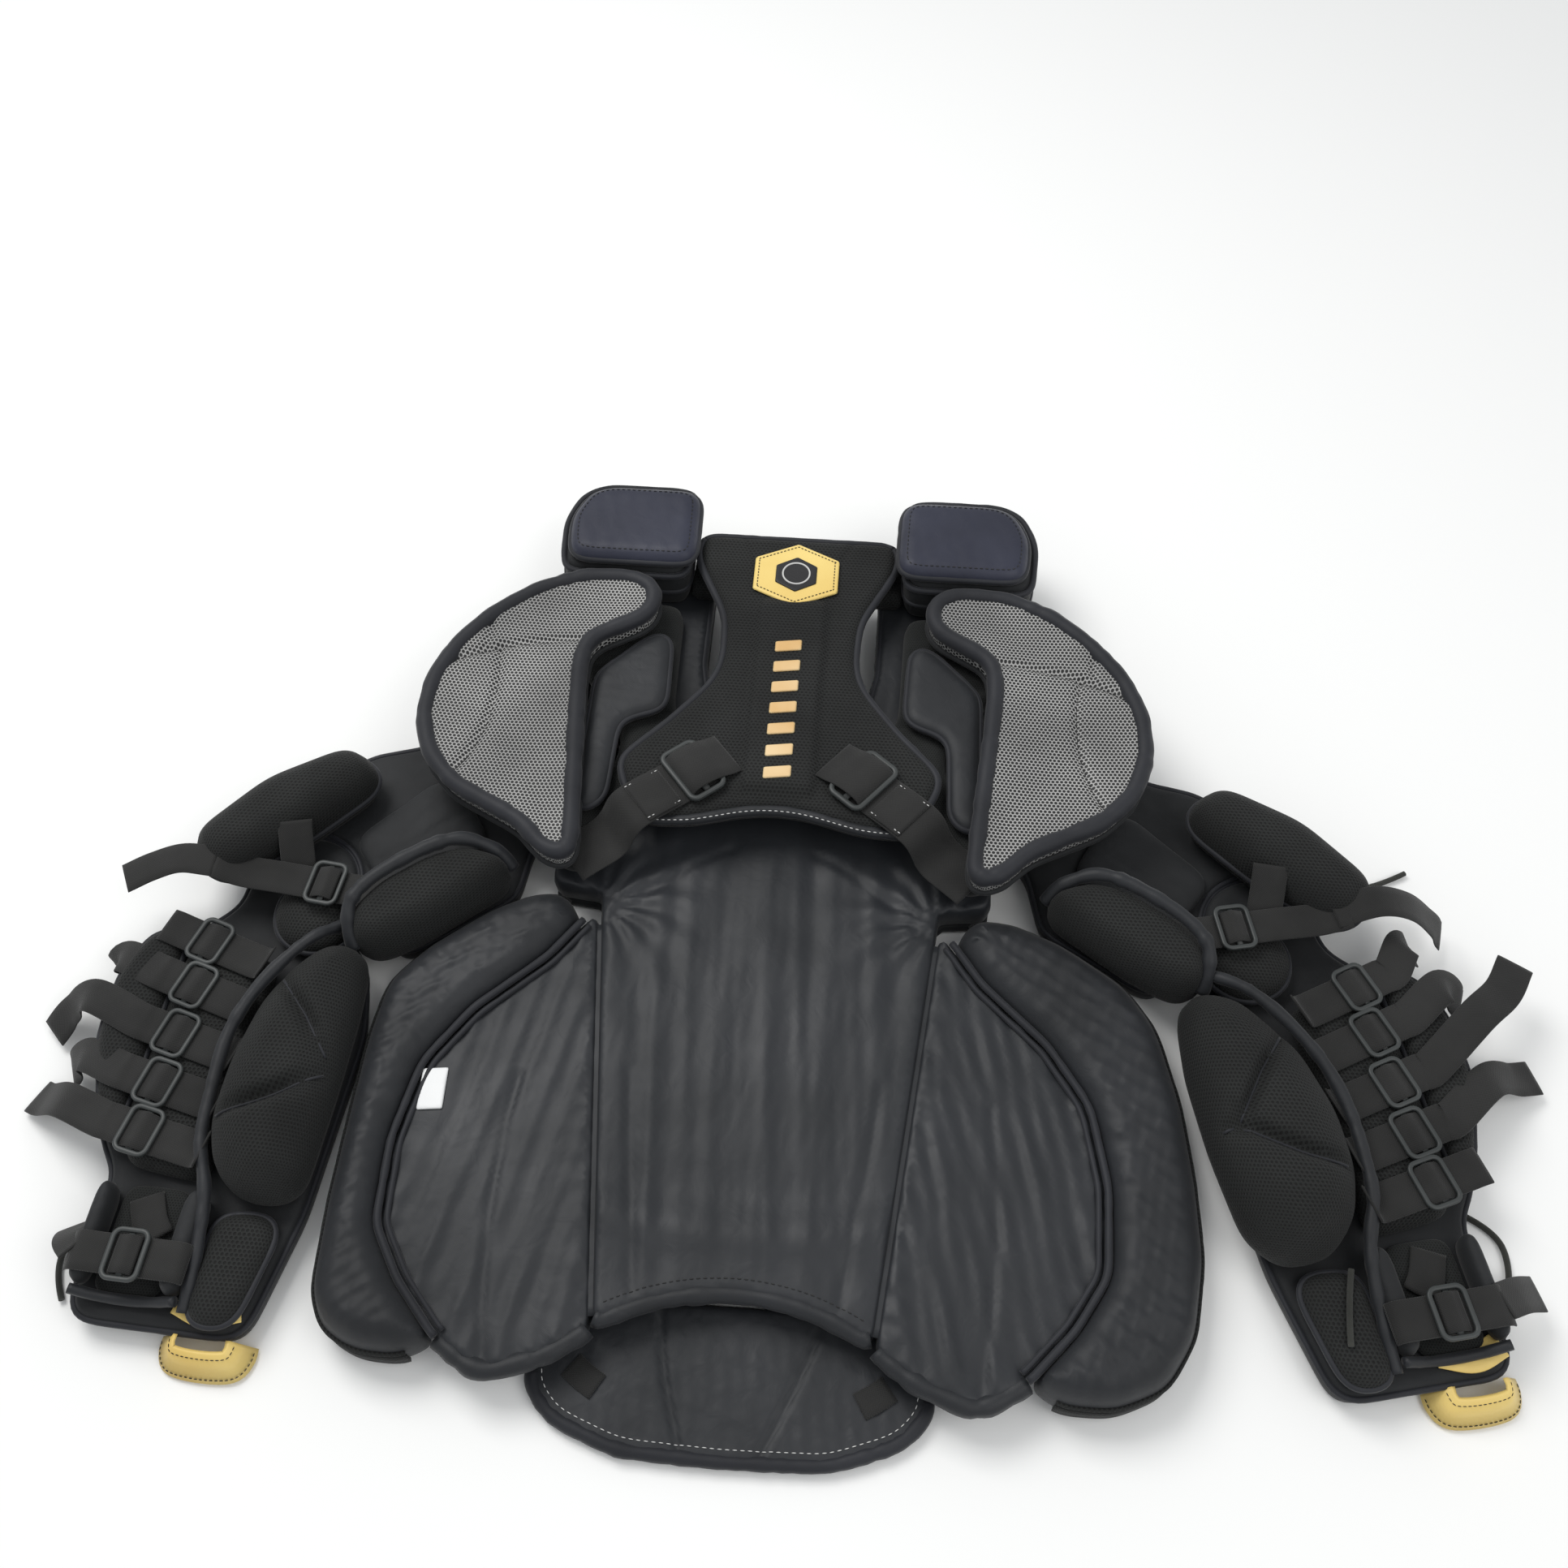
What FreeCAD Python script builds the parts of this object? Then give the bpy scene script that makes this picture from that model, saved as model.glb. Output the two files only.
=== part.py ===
import FreeCAD, Part
import math
import os
import Sketcher

# Goalie chest-and-arm protector lying face down, inner side up.
# Millimetres; X across, Y towards the collar, Z up from the resting face.

V = FreeCAD.Vector
ROT_Z = V(0, 0, 1)

SIZES = {
    # plan sizes
    "body_width": 528.0,        # across both side rolls
    "body_length": 699.0,       # flap hem to collar top
    "pivot_x": 185.0,           # shoulder pivot
    "pivot_y": 290.0,
    "upper_arm": 194.0,         # shoulder pivot to elbow pivot
    "forearm": 318.0,           # elbow pivot to shell end
    "shoulder_r": 58.0,         # round root of the upper arm
    "elbow_r": 40.0,            # round root of the forearm
    "web_wide": 38.0,           # harness webbing
    "web": 25.0,                # arm webbing
    "web_thick": 1.6,
    # heights of the stacked layers
    "floor": 0.0,
    "flap_top": 9.6,
    "cover_top": 10.0,
    "foam_top": 26.0,
    "liner_top": 34.0,
    "label_top": 34.8,
    "riser_top": 52.0,
    "clavicle_top": 65.0,
    "spine_top": 72.0,
    "badge_mid": 74.0,
    "badge_top": 76.0,
    "column_top": 78.0,
    "collar_top": 76.0,
    "collar_lining_top": 90.0,
    "cap_top": 82.0,
    "roll_top": 46.0,
    "tab_top": 9.9,
    # heights on the arms
    "arm_floor": 0.5,
    "shell_top": 22.0,
    "root_top": 51.6,
    "bicep_floor": 22.4,
    "bicep_top": 68.0,
    "triceps_top": 72.0,
    "lining_top": 27.0,
    "side_pad_top": 40.0,
    "dome_top": 68.0,
    "cushion_top": 44.0,
    "guard_top": 36.0,
    "cuff_floor": 26.0,
    "cuff_top": 44.0,
    "upper_strap": 50.0,
    "loop_floor": 4.0,
    "loop_top": 18.0,
    # rounding
    "soft": 12.0,
    "roll_round": 10.0,
    "medium": 6.0,
    "crisp": 2.0,
}

# lie of each arm: side, upper arm and forearm angles below the X axis
ARMS = {"left": (-1, 38.0, 87.0), "right": (1, 33.0, 77.0)}

doc = FreeCAD.newDocument("protector")
sheet = doc.addObject("Spreadsheet::Sheet", "Sizes")
for row, (word, size) in enumerate(SIZES.items(), start=1):
    sheet.set("A%d" % row, word)
    sheet.set("B%d" % row, str(size))
    sheet.setAlias("B%d" % row, word)
doc.recompute()

NODES = []


def size(word):
    """Read a named size back from the sheet."""
    return float(getattr(sheet, word))


def body_points(points):
    """Scale plan points drawn at the nominal body size to the sheet's size."""
    kx = size("body_width") / 528.0
    ky = size("body_length") / 699.0
    return [(p[0] * kx, p[1] * ky) + tuple(p[2:]) for p in points]


def side(points, s):
    """Body points on the right (s=1) or mirrored to the left (s=-1)."""
    return [(s * p[0],) + tuple(p[1:]) for p in body_points(points)]


def whole(points):
    """Close a right half, given from the bottom centre upwards, with its mirror."""
    right = body_points(points)
    left = [(-p[0],) + tuple(p[1:]) for p in reversed(right) if abs(p[0]) > 0.01]
    return right + left


def pivot(s):
    return V(s * size("pivot_x") * size("body_width") / 528.0,
             size("pivot_y") * size("body_length") / 699.0, 0)


def arm_frame(name, lower):
    """Origin, along and outward vectors of an upper arm, or of a forearm if lower."""
    s, above, below = ARMS[name]
    angle = math.radians(above)
    along = V(s * math.cos(angle), -math.sin(angle), 0)
    outward = V(s * math.sin(angle), math.cos(angle), 0)
    origin = pivot(s)
    if lower:
        origin = origin + along * size("upper_arm")
        angle = math.radians(below)
        along = V(s * math.cos(angle), -math.sin(angle), 0)
        outward = V(s * math.sin(angle), math.cos(angle), 0)
    return origin, along, outward


def arm_points(name, lower, points):
    """Turn (along, outward, radius) points of an arm into plan points."""
    origin, along, outward = arm_frame(name, lower)
    k = size("forearm") / 318.0 if lower else size("upper_arm") / 194.0
    out = []
    for p in points:
        q = origin + along * (p[0] * k) + outward * p[1]
        out.append((q.x, q.y) + tuple(p[2:]))
    return out


def draw(sketch, points):
    """Draw a closed outline; a point's third value rounds its corner."""
    points = [p if len(p) > 2 else (p[0], p[1], 0.0) for p in points]
    area = sum(a[0] * b[1] - b[0] * a[1] for a, b in zip(points, points[1:] + points[:1]))
    if area < 0:
        points = points[::-1]
    corners = []
    for i, (x, y, r) in enumerate(points):
        here = V(x, y, 0)
        before = V(points[i - 1][0], points[i - 1][1], 0)
        after = V(points[(i + 1) % len(points)][0], points[(i + 1) % len(points)][1], 0)
        d0 = (before - here).normalize()
        d1 = (after - here).normalize()
        turn = math.pi - d0.getAngle(d1)
        if r < 0.05 or turn < 0.02:
            corners.append((here, here, None))
            continue
        reach = r * math.tan(turn / 2)
        start, end = here + d0 * reach, here + d1 * reach
        centre = here + (d0 + d1).normalize() * (r / math.cos(turn / 2))
        left_turn = (here - before).cross(after - here).z > 0
        a = math.atan2(start.y - centre.y, start.x - centre.x)
        b = math.atan2(end.y - centre.y, end.x - centre.x)
        if not left_turn:
            a, b = b, a
        while b < a:
            b += 2 * math.pi
        corners.append((start, end, (centre, r, a, b)))
    for i, (start, end, arc) in enumerate(corners):
        if arc:
            circle = Part.Circle(arc[0], ROT_Z, arc[1])
            sketch.addGeometry(Part.ArcOfCircle(circle, arc[2], arc[3]), False)
        following = corners[(i + 1) % len(corners)][0]
        if (following - end).Length > 1e-6:
            sketch.addGeometry(Part.LineSegment(end, following), False)


def new_sketch(body, plane, low=None):
    """Sketch on one of the body's own origin planes, lifted to a named height."""
    sketch = body.newObject("Sketcher::SketchObject", body.Name + "_sketch")
    for feature in body.Origin.OriginFeatures:
        if feature.Role == plane:
            sketch.AttachmentSupport = [(feature, "")]
    sketch.MapMode = "FlatFace"
    if low:
        sketch.setExpression("AttachmentOffset.Base.z", "Sizes." + low)
    return sketch


def grow(body, outline, low, high):
    """Pad an outline between two named heights."""
    sketch = new_sketch(body, "XY_Plane", low)
    draw(sketch, outline)
    pad = body.newObject("PartDesign::Pad", body.Name + "_pad")
    pad.Profile = sketch
    pad.setExpression("Length", "Sizes.%s - Sizes.%s" % (high, low))
    doc.recompute()
    return pad


def cut(body, low, outline=None, circle=None):
    """Pocket everything above a named height inside an outline or a circle."""
    sketch = new_sketch(body, "XY_Plane", low)
    if circle:
        sketch.addGeometry(Part.Circle(circle[0], ROT_Z, circle[1]), False)
    else:
        draw(sketch, outline)
    before = body.Shape.Volume
    pocket = body.newObject("PartDesign::Pocket", body.Name + "_cut")
    pocket.Profile = sketch
    pocket.Type = "Length"
    pocket.Length = 200.0
    pocket.Reversed = True
    doc.recompute()
    if not body.Shape.Volume < before - 1.0:
        raise RuntimeError("the cut in %s removes nothing" % body.Label)
    return pocket


def edges_at(shape, z):
    """Names of the edges lying flat at one height."""
    names = []
    for i, edge in enumerate(shape.Edges, start=1):
        box = edge.BoundBox
        if abs(box.ZMin - z) < 1e-4 and abs(box.ZMax - z) < 1e-4:
            names.append("Edge%d" % i)
    return names


def round_at(body, level, radius):
    """Fillet the flat edges at a named height by a named radius."""
    tip = body.Tip
    fillet = body.newObject("PartDesign::Fillet", body.Name + "_round")
    fillet.Base = (tip, edges_at(tip.Shape, size(level)))
    fillet.setExpression("Radius", "Sizes." + radius)
    doc.recompute()
    return fillet


def new_body(name):
    body = doc.addObject("PartDesign::Body", name)
    body.Label = name
    return body


def keep(obj, name):
    """Mark an object as a kept node under its node name."""
    obj.Label = name
    NODES.append(obj)
    return obj


def slab(name, outline, low, high, top=None, bottom=None, node=True):
    """A cushion or plate: one padded outline with rounded rims."""
    body = new_body(name)
    grow(body, outline, low, high)
    if top:
        round_at(body, high, top)
    if bottom:
        round_at(body, low, bottom)
    return keep(body, name) if node else body


def group(name, members):
    """One node made of several separate solids."""
    compound = doc.addObject("Part::Compound", name)
    compound.Links = members
    doc.recompute()
    return keep(compound, name)


def strip(name, start, end, low, width, cutters):
    """Flat webbing from start to end, trimmed where it meets its pads."""
    along = (end - start).normalize()
    across = V(-along.y, along.x, 0) * (width / 2)
    corners = [start + across, start - across, end - across, end + across]
    body = new_body(name)
    sketch = new_sketch(body, "XY_Plane", low)
    draw(sketch, [(c.x, c.y) for c in corners])
    pad = body.newObject("PartDesign::Pad", name + "_pad")
    pad.Profile = sketch
    pad.setExpression("Length", "Sizes.web_thick")
    doc.recompute()
    result = body
    for i, tool in enumerate(cutters):
        trim = doc.addObject("Part::Cut", "%s_trim%d" % (name, i))
        trim.Base, trim.Tool = result, tool
        result = trim
    doc.recompute()
    return result


def slide(name, centre, along, low, width):
    """Three-bar slide: end bars under the webbing, middle bar over it."""
    angle = math.degrees(math.atan2(along.y, along.x))
    place = FreeCAD.Placement(V(centre.x, centre.y, low), FreeCAD.Rotation(ROT_Z, angle))
    half = width / 2 + 0.6
    over = size("web_thick") + 0.3
    bars = [(-11.0, half, -2.2, 22.0, 2.8, over + 4.5), (-11.0, -half - 2.8, -2.2, 22.0, 2.8, over + 4.5),
            (-11.0, -half - 1, -2.2, 4.0, 2 * half + 2, 1.9), (7.0, -half - 1, -2.2, 4.0, 2 * half + 2, 1.9),
            (-2.5, -half - 1, over, 5.0, 2 * half + 2, 2.3)]
    boxes = []
    for i, (x, y, z, length, wide, high) in enumerate(bars):
        box = doc.addObject("Part::Box", "%s_bar%d" % (name, i))
        box.Length, box.Width, box.Height = length, wide, high
        box.Placement = place.multiply(FreeCAD.Placement(V(x, y, z), FreeCAD.Rotation()))
        boxes.append(box)
    fuse = doc.addObject("Part::MultiFuse", name)
    fuse.Shapes = boxes
    fuse.Refine = True
    doc.recompute()
    return fuse


def tube(name, points, radius):
    """A free lace: straight runs joined by tangent arcs."""
    path = [V(*p) for p in points]
    edges, last, radii = [], path[0], []
    for a, b, c in zip(path, path[1:], path[2:]):
        d0, d1 = (a - b), (c - b)
        turn = math.pi - d0.getAngle(d1)
        reach = 0.45 * min(d0.Length, d1.Length)
        u0, u1 = V(d0).normalize(), V(d1).normalize()
        start, end = b + u0 * reach, b + u1 * reach
        bend = reach / math.tan(turn / 2)
        radii.append("%.1f" % bend)
        centre = b + (u0 + u1).normalize() * (bend / math.cos(turn / 2))
        middle = centre + (b - centre).normalize() * bend
        edges.append(Part.LineSegment(last, start).toShape())
        edges.append(Part.Arc(start, middle, end).toShape())
        last = end
    edges.append(Part.LineSegment(last, path[-1]).toShape())
    wire = Part.Wire(edges)
    ring = Part.Wire([Part.Circle(path[0], (path[1] - path[0]).normalize(), radius).toShape()])
    lace = doc.addObject("Part::Feature", name)
    lace.Shape = wire.makePipeShell([ring], True, True)
    print("%s bend radii in mm: %s" % (name, ", ".join(radii)))
    return lace


# ---------------------------------------------------------------- torso

NECK_SIDE = [(182, 430, 8), (182, 478, 18), (66, 478, 8), (66, 380, 20), (56, 326, 30), (0, 288, 60)]
SHOULDER = [(120.8, 172, 6), (158, 176, 10), (158, 226, 6), (168, 262), (168, 425, 8)]
ARCH = [(0, -84, 160), (86, -128, 6)]
FRONT_EDGE = [(0, -102), (88.9, -102, 6)]
HINGE_LOW, HINGE_HIGH = (86.0, -128.0), (120.0, 160.0)
ROLL_INNER = [(180, -141), (208, -110, 24), (230, -76, 30), (232, -20, 60), (222, 34, 50), (194, 76, 40),
              (150, 118, 40), (131, 147)]
ROLL_OUTER = {
    "left": [(200, -152, 12), (228, -151, 16), (250, -140, 18), (262, -118, 20), (264, -60, 60), (263, 0, 80),
             (260, 50, 60), (251, 92, 40), (230, 122, 40), (194, 152, 30), (168, 167, 12), (146, 169, 8)],
    "right": [(200, -152, 12), (232, -152, 16), (262, -138, 20), (281, -108, 24), (289, -60, 60), (287, -10, 80),
              (281, 42, 60), (268, 94, 40), (248, 124, 40), (205, 153, 30), (172, 167, 12), (146, 169, 8)]}


def shoulder_bites(body, low):
    """Clear the round root of both arms."""
    for s in (1, -1):
        cut(body, low, circle=(pivot(s), size("shoulder_r") + 3.0))


def torso():
    for name, base, low, high, rim in (("chest_front_cover", FRONT_EDGE, "floor", "cover_top", None),
                                       ("chest_foam_core", ARCH, "cover_top", "foam_top", None),
                                       ("body_liner", ARCH, "foam_top", "liner_top", "crisp")):
        body = new_body(name)
        grow(body, whole(base + SHOULDER + NECK_SIDE), low, high)
        shoulder_bites(body, low)
        if rim:
            round_at(body, high, rim)
        keep(body, name)


def risers():
    outline = [(72, 238, 6), (104, 232, 10), (132, 181, 8), (156, 184, 8), (163, 204, 8), (163, 426, 8),
               (86, 426, 8), (84, 330, 14), (72, 296, 8)]
    pair = []
    for s in (1, -1):
        body = slab("riser%d" % (s + 1), side(outline, s), "liner_top", "riser_top", node=False)
        cut(body, "liner_top", circle=(pivot(s), size("shoulder_r") + 3.0))
        pair.append(body)
    group("shoulder_risers", pair)


def spine():
    outline = [(0, 232, 120), (60, 215, 20), (98, 213, 12), (119, 262, 16), (84, 300, 24),
               (50, 345, 60), (52, 400, 60), (79, 455, 30), (79, 482, 8)]
    body = new_body("spine_pad")
    grow(body, whole(outline), "riser_top", "spine_top")
    round_at(body, "spine_top", "medium")
    grow(body, whole([(0, 238), (27, 238, 3), (27, 390, 2), (18, 402, 2), (0, 402)]), "spine_top", "column_top")
    keep(body, "spine_pad")
    badge = new_body("spine_badge")
    for k, low, high in ((1.0, "spine_top", "badge_mid"), (0.72, "badge_mid", "badge_top")):
        grow(badge, whole([(0, 440 - 31 * k), (33 * k, 440 - 16 * k), (33 * k, 440 + 16 * k),
                           (0, 440 + 31 * k)]), low, high)
    keep(badge, "spine_badge")
    slab("neck_yoke", whole([(0, 441), (84, 441), (84, 480, 4), (0, 480)]), "liner_top", "riser_top")


def strap_profile(body, points, thick, width):
    """Extrude a side profile of webbing evenly to both sides."""
    sketch = new_sketch(body, "XZ_Plane")
    draw(sketch, points + [(x, z + thick) for x, z in reversed(points)])
    pad = body.newObject("PartDesign::Pad", body.Name + "_pad")
    pad.Profile = sketch
    pad.setExpression("Length", "Sizes." + width)
    pad.Midplane = True


def harness():
    """Webbing from the foot of the spine pad down to the shoulder, and its slides."""
    straps, slides = [], []
    thick = size("web_thick")
    top, foot = size("spine_top"), size("riser_top")
    for s in (1, -1):
        start = V(*side([(61, 251)], s)[0], 0)
        end = V(*side([(139.7, 186.1)], s)[0], 0)
        run = (end - start).Length
        angle = math.degrees(math.atan2(end.y - start.y, end.x - start.x))
        strap = new_body("harness_strap%d" % (s + 1))
        strap_profile(strap, [(-14, top), (56, top), (74, foot), (run, foot)], thick, "web_wide")
        strap.Placement = FreeCAD.Placement(start, FreeCAD.Rotation(ROT_Z, angle))
        straps.append(strap)
        turn = FreeCAD.Placement(V(start.x, start.y, top + thick), FreeCAD.Rotation(ROT_Z, angle))
        frame = doc.addObject("Part::Box", "slide_block%d" % (s + 1))
        frame.Length, frame.Width, frame.Height = 30.0, 48.0, 3.4
        frame.Placement = turn.multiply(FreeCAD.Placement(V(-15, -24, 0), FreeCAD.Rotation()))
        result = frame
        for i, x in enumerate((-11.0, 2.0)):
            hole = doc.addObject("Part::Box", "slide_slot%d%d" % (s + 1, i))
            hole.Length, hole.Width, hole.Height = 9.0, 39.0, 10.0
            hole.Placement = turn.multiply(FreeCAD.Placement(V(x, -19.5, -2), FreeCAD.Rotation()))
            slot = doc.addObject("Part::Cut", "slide_cut%d%d" % (s + 1, i))
            slot.Base, slot.Tool = result, hole
            result = slot
        slides.append(result)
    doc.recompute()
    group("harness_straps", straps)
    group("harness_slides", slides)


def collar_and_chest_pads():
    """The soft pads beside the neck, one node for each mirrored pair of the small ones."""
    clavicle = [(123, 232, 7), (146, 214, 7), (146, 344, 14), (106, 386, 12), (91, 386, 8),
                (88, 314, 10), (122, 303, 12)]
    lining = [(92, 441, 10), (176, 441, 12), (178, 480, 18), (164, 495, 18), (92, 495, 10)]
    collar = [(84, 434, 8), (184, 434, 10), (186, 486, 18), (168, 503, 18), (84, 503, 10)]
    group("clavicle_pads", [slab("clavicle%d" % (s + 1), side(clavicle, s), "riser_top", "clavicle_top",
                                 "medium", node=False) for s in (1, -1)])
    for name, s in (("left", -1), ("right", 1)):
        slab(name + "_collar_pad", side(collar, s), "liner_top", "collar_top", "medium")
    group("collar_linings", [slab("lining%d" % (s + 1), side(lining, s), "collar_top", "collar_lining_top",
                                  "medium", node=False) for s in (1, -1)])


def shoulder_cap(name, s):
    cap = [(160, 190, 13), (205, 198, 30), (241, 232, 28), (267, 290, 34), (268, 330, 34), (242, 372, 36),
           (202, 404, 28), (140, 424, 18), (103, 414, 13), (112, 392, 5), (150, 352, 18)]
    slab(name + "_shoulder_cap", side(cap, s), "riser_top", "cap_top", "soft")


# ---------------------------------------------------------------- sides and flap


def wing(name, s):
    gap = 0.5
    panel = [(HINGE_LOW[0] + gap, HINGE_LOW[1] - 2, 5), (112, -146, 14), (150, -160, 24)] + ROLL_INNER
    panel += [(HINGE_HIGH[0] + gap + 0.1, HINGE_HIGH[1] - 2, 3)]
    slab(name + "_side_panel", side(panel, s), "cover_top", "liner_top", "crisp")
    roll = ROLL_OUTER[name] + ROLL_INNER[::-1]
    body = new_body(name + "_side_roll")
    grow(body, side(roll, s), "floor", "roll_top")
    round_at(body, "roll_top", "roll_round")
    keep(body, name + "_side_roll")


def flap():
    slab("belly_flap", whole([(0, -196), (64, -194, 40), (108, -178, 30), (126, -156, 16), (112, -102.6, 10),
                              (0, -102.6)]), "floor", "flap_top")
    tabs = [slab("tab%d" % (s + 1), side([(78, -160, 2), (98, -160, 2), (98, -142, 2), (78, -142, 2)], s),
                 "flap_top", "tab_top", node=False) for s in (1, -1)]
    group("flap_tabs", tabs)
    slab("blank_label", side([(203, 1), (218, 1), (218, 29), (203, 29)], -1), "liner_top", "label_top")


# ---------------------------------------------------------------- arms


def upper_arm(name):
    s = ARMS[name][0]
    r = size("shoulder_r") - 0.1
    origin, along, outward = arm_frame(name, False)
    elbow = arm_frame(name, True)[0]
    shell = new_body(name + "_upper_arm_shell")
    grow(shell, arm_points(name, False, [(-r, -r, r - 0.1), (34, -r, 30), (72, -97, 14), (166, -94, 14),
                                         (166, 72, 14), (104, 74, 20), (66, r, 30), (-r, r, r - 0.1)]),
         "arm_floor", "shell_top")
    cut(shell, "arm_floor", circle=(elbow, size("elbow_r") + 0.6))
    grow(shell, arm_points(name, False, [(-24, -24, 23), (24, -24, 23), (24, 24, 23), (-24, 24, 23)]),
         "shell_top", "root_top")
    keep(shell, name + "_upper_arm_shell")
    bicep = slab(name + "_bicep_pad", arm_points(name, False, [
        (104, 28, 18), (176, 16, 60), (246, 13, 20), (252, 60, 20), (181, 76, 60), (116, 68, 20)]),
        "bicep_floor", "bicep_top", "soft")
    triceps = slab(name + "_triceps_pad", arm_points(name, False, [
        (70, -92, 13), (92, -64, 16), (140, -60, 40), (178, -65, 13), (178, -95, 13), (140, -100, 40),
        (92, -97, 20)]), "shell_top", "triceps_top", "soft")
    start = origin + along * (134 * size("upper_arm") / 194) + outward * -79
    end = origin + along * (240 * size("upper_arm") / 194) + outward * 26
    strap = strip(name + "_upper_strap_blank", start, end, "upper_strap", size("web"), [triceps, bicep])
    keep(strap, name + "_upper_arm_strap")
    run = (end - start).normalize()
    centre = start + run * ((end - start).Length * 0.46)
    keep(slide(name + "_upper_arm_slide", centre, run, size("upper_strap"), size("web")), name + "_upper_arm_slide")


def forearm(name):
    s = ARMS[name][0]
    r = size("elbow_r")
    origin, along, outward = arm_frame(name, True)
    k = size("forearm") / 318.0
    slab(name + "_forearm_shell", arm_points(name, True, [
        (-r, -r, r - 0.1), (34, -r, 18), (64, -64, 14), (110, -75, 40), (236, -70, 30), (318, -54, 14),
        (318, 60, 14), (224, 62, 14), (204, 78, 16), (130, 104, 50), (64, 98, 24), (46, 62, 16),
        (24, r, 16), (-r, r, r - 0.1)]), "arm_floor", "shell_top")
    dome = slab(name + "_elbow_dome", arm_points(name, True, [
        (67, -6, 16), (238, -6, 20), (234, -56, 24), (170, -72, 70), (104, -73, 34), (69, -52, 22)]),
        "shell_top", "dome_top", "soft")
    slab(name + "_elbow_cushion", arm_points(name, True, [
        (-4, -56, 33), (62, -56, 33), (62, 10, 32.8), (-4, 10, 32.8)]), "shell_top", "cushion_top", "medium")
    slab(name + "_forearm_lining", arm_points(name, True, [
        (70, -5, 4), (228, -5, 4), (222, 50, 10), (200, 61, 10), (64, 61, 10), (64, 16, 8)]),
        "shell_top", "lining_top")
    side_pad = slab(name + "_forearm_side_pad", arm_points(name, True, [
        (52, 62, 8), (56, 88, 16), (92, 101, 34), (140, 99, 40), (199, 76, 8), (199, 62, 4)]),
        "shell_top", "side_pad_top", "crisp")
    strips, slides = [], []
    tails = (0, 8, 40, 12, 16) if s < 0 else (0, 8, 44, 38, 0)
    for i, (near, far) in enumerate(((78, 56), (111, 90), (145, 127), (178, 163), (210, 197))):
        start = origin + along * (near * k + 4) + outward * -16
        end = origin + along * (far * k) + outward * 74
        run = (end - start).normalize()
        strips.append(strip("%s_strip%d" % (name, i), start, end + run * tails[i], "side_pad_top", size("web"), [dome]))
        centre = start + run * 60.0
        slides.append(slide("%s_glide%d" % (name, i), centre, run, size("side_pad_top"), size("web")))
    group(name + "_forearm_straps", strips)
    group(name + "_forearm_slides", slides)
    cuff = new_body(name + "_cuff_pad")
    grow(cuff, arm_points(name, True, [(232, -14, 6), (302, -14, 8), (302, 59, 10), (232, 59, 10)]),
         "shell_top", "cuff_top")
    cut(cuff, "cuff_floor", arm_points(name, True, [(220, 2), (316, 2), (316, 46), (220, 46)]))
    keep(cuff, name + "_cuff_pad")
    start = origin + along * (282 * k) + outward * -10
    end = origin + along * (282 * k) + outward * 56
    keep(strip(name + "_cuff_strip", start, end, "cuff_top", size("web"), []), name + "_cuff_strap")
    keep(slide(name + "_cuff_slide", origin + along * (282 * k) + outward * 22, outward,
               size("cuff_top"), size("web")), name + "_cuff_slide")
    slab(name + "_forearm_guard", arm_points(name, True, [
        (241, -64, 12), (315, -50, 12), (315, -18, 10), (245, -18, 10)]), "shell_top", "guard_top", "medium")
    middle = -30 if s < 0 else 34
    slab(name + "_wrist_loop", arm_points(name, True, [
        (318.2, middle - 24), (341, middle - 24, 20), (341, middle + 24, 20), (318.2, middle + 24),
        (318.2, middle + 21), (338, middle + 21, 17), (338, middle - 21, 17), (318.2, middle - 21)]),
        "loop_floor", "loop_top")


def laces():
    """Free laces lying beside the arms, and one across the right forearm guard."""
    routes = (("left_lace", True, 2.6, [(246, 62.7), (260, 80), (286, 84), (304, 72)]),
              ("right_lace", True, 2.6, [(214.5, 70.6), (228, 88), (250, 90), (266, 82)]),
              ("right_guard_lace", True, size("guard_top") + 2.1, [(246, -26), (268, -36), (290, -42)]),
              ("right_arm_lace", False, 2.6, [(166.8, 50), (203, 62), (240, 80), (258, 116)]))
    for name, lower, height, route in routes:
        points = arm_points("left" if name.startswith("left") else "right", lower, route)
        keep(tube(name + "_route", [(x, y, height) for x, y in points], 2.0), name)


torso()
risers()
spine()
harness()
collar_and_chest_pads()
flap()
for arm_name, lie in ARMS.items():
    shoulder_cap(arm_name, lie[0])
    wing(arm_name, lie[0])
    upper_arm(arm_name)
    forearm(arm_name)
laces()
doc.recompute()

for obj in doc.Objects:
    if "Invalid" in obj.State or "Error" in obj.State:
        raise RuntimeError("%s does not build" % obj.Label)
os.makedirs("parts", exist_ok=True)
for node in NODES:
    shape = node.Shape
    if shape.isNull() or not shape.isValid() or not shape.Solids:
        raise RuntimeError("%s has no valid solid" % node.Label)
    shape.exportStep("parts/%s.step" % node.Label)
print(len(NODES), "nodes written")
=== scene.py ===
"""Goalie chest-and-arm protector lying open, inner side up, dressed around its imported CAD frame."""

import logging
import math
from dataclasses import dataclass, field
from enum import Enum
from typing import Callable, Sequence

import bpy
import numpy as np
from mathutils import Euler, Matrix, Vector
from mathutils.geometry import delaunay_2d_cdt


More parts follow.
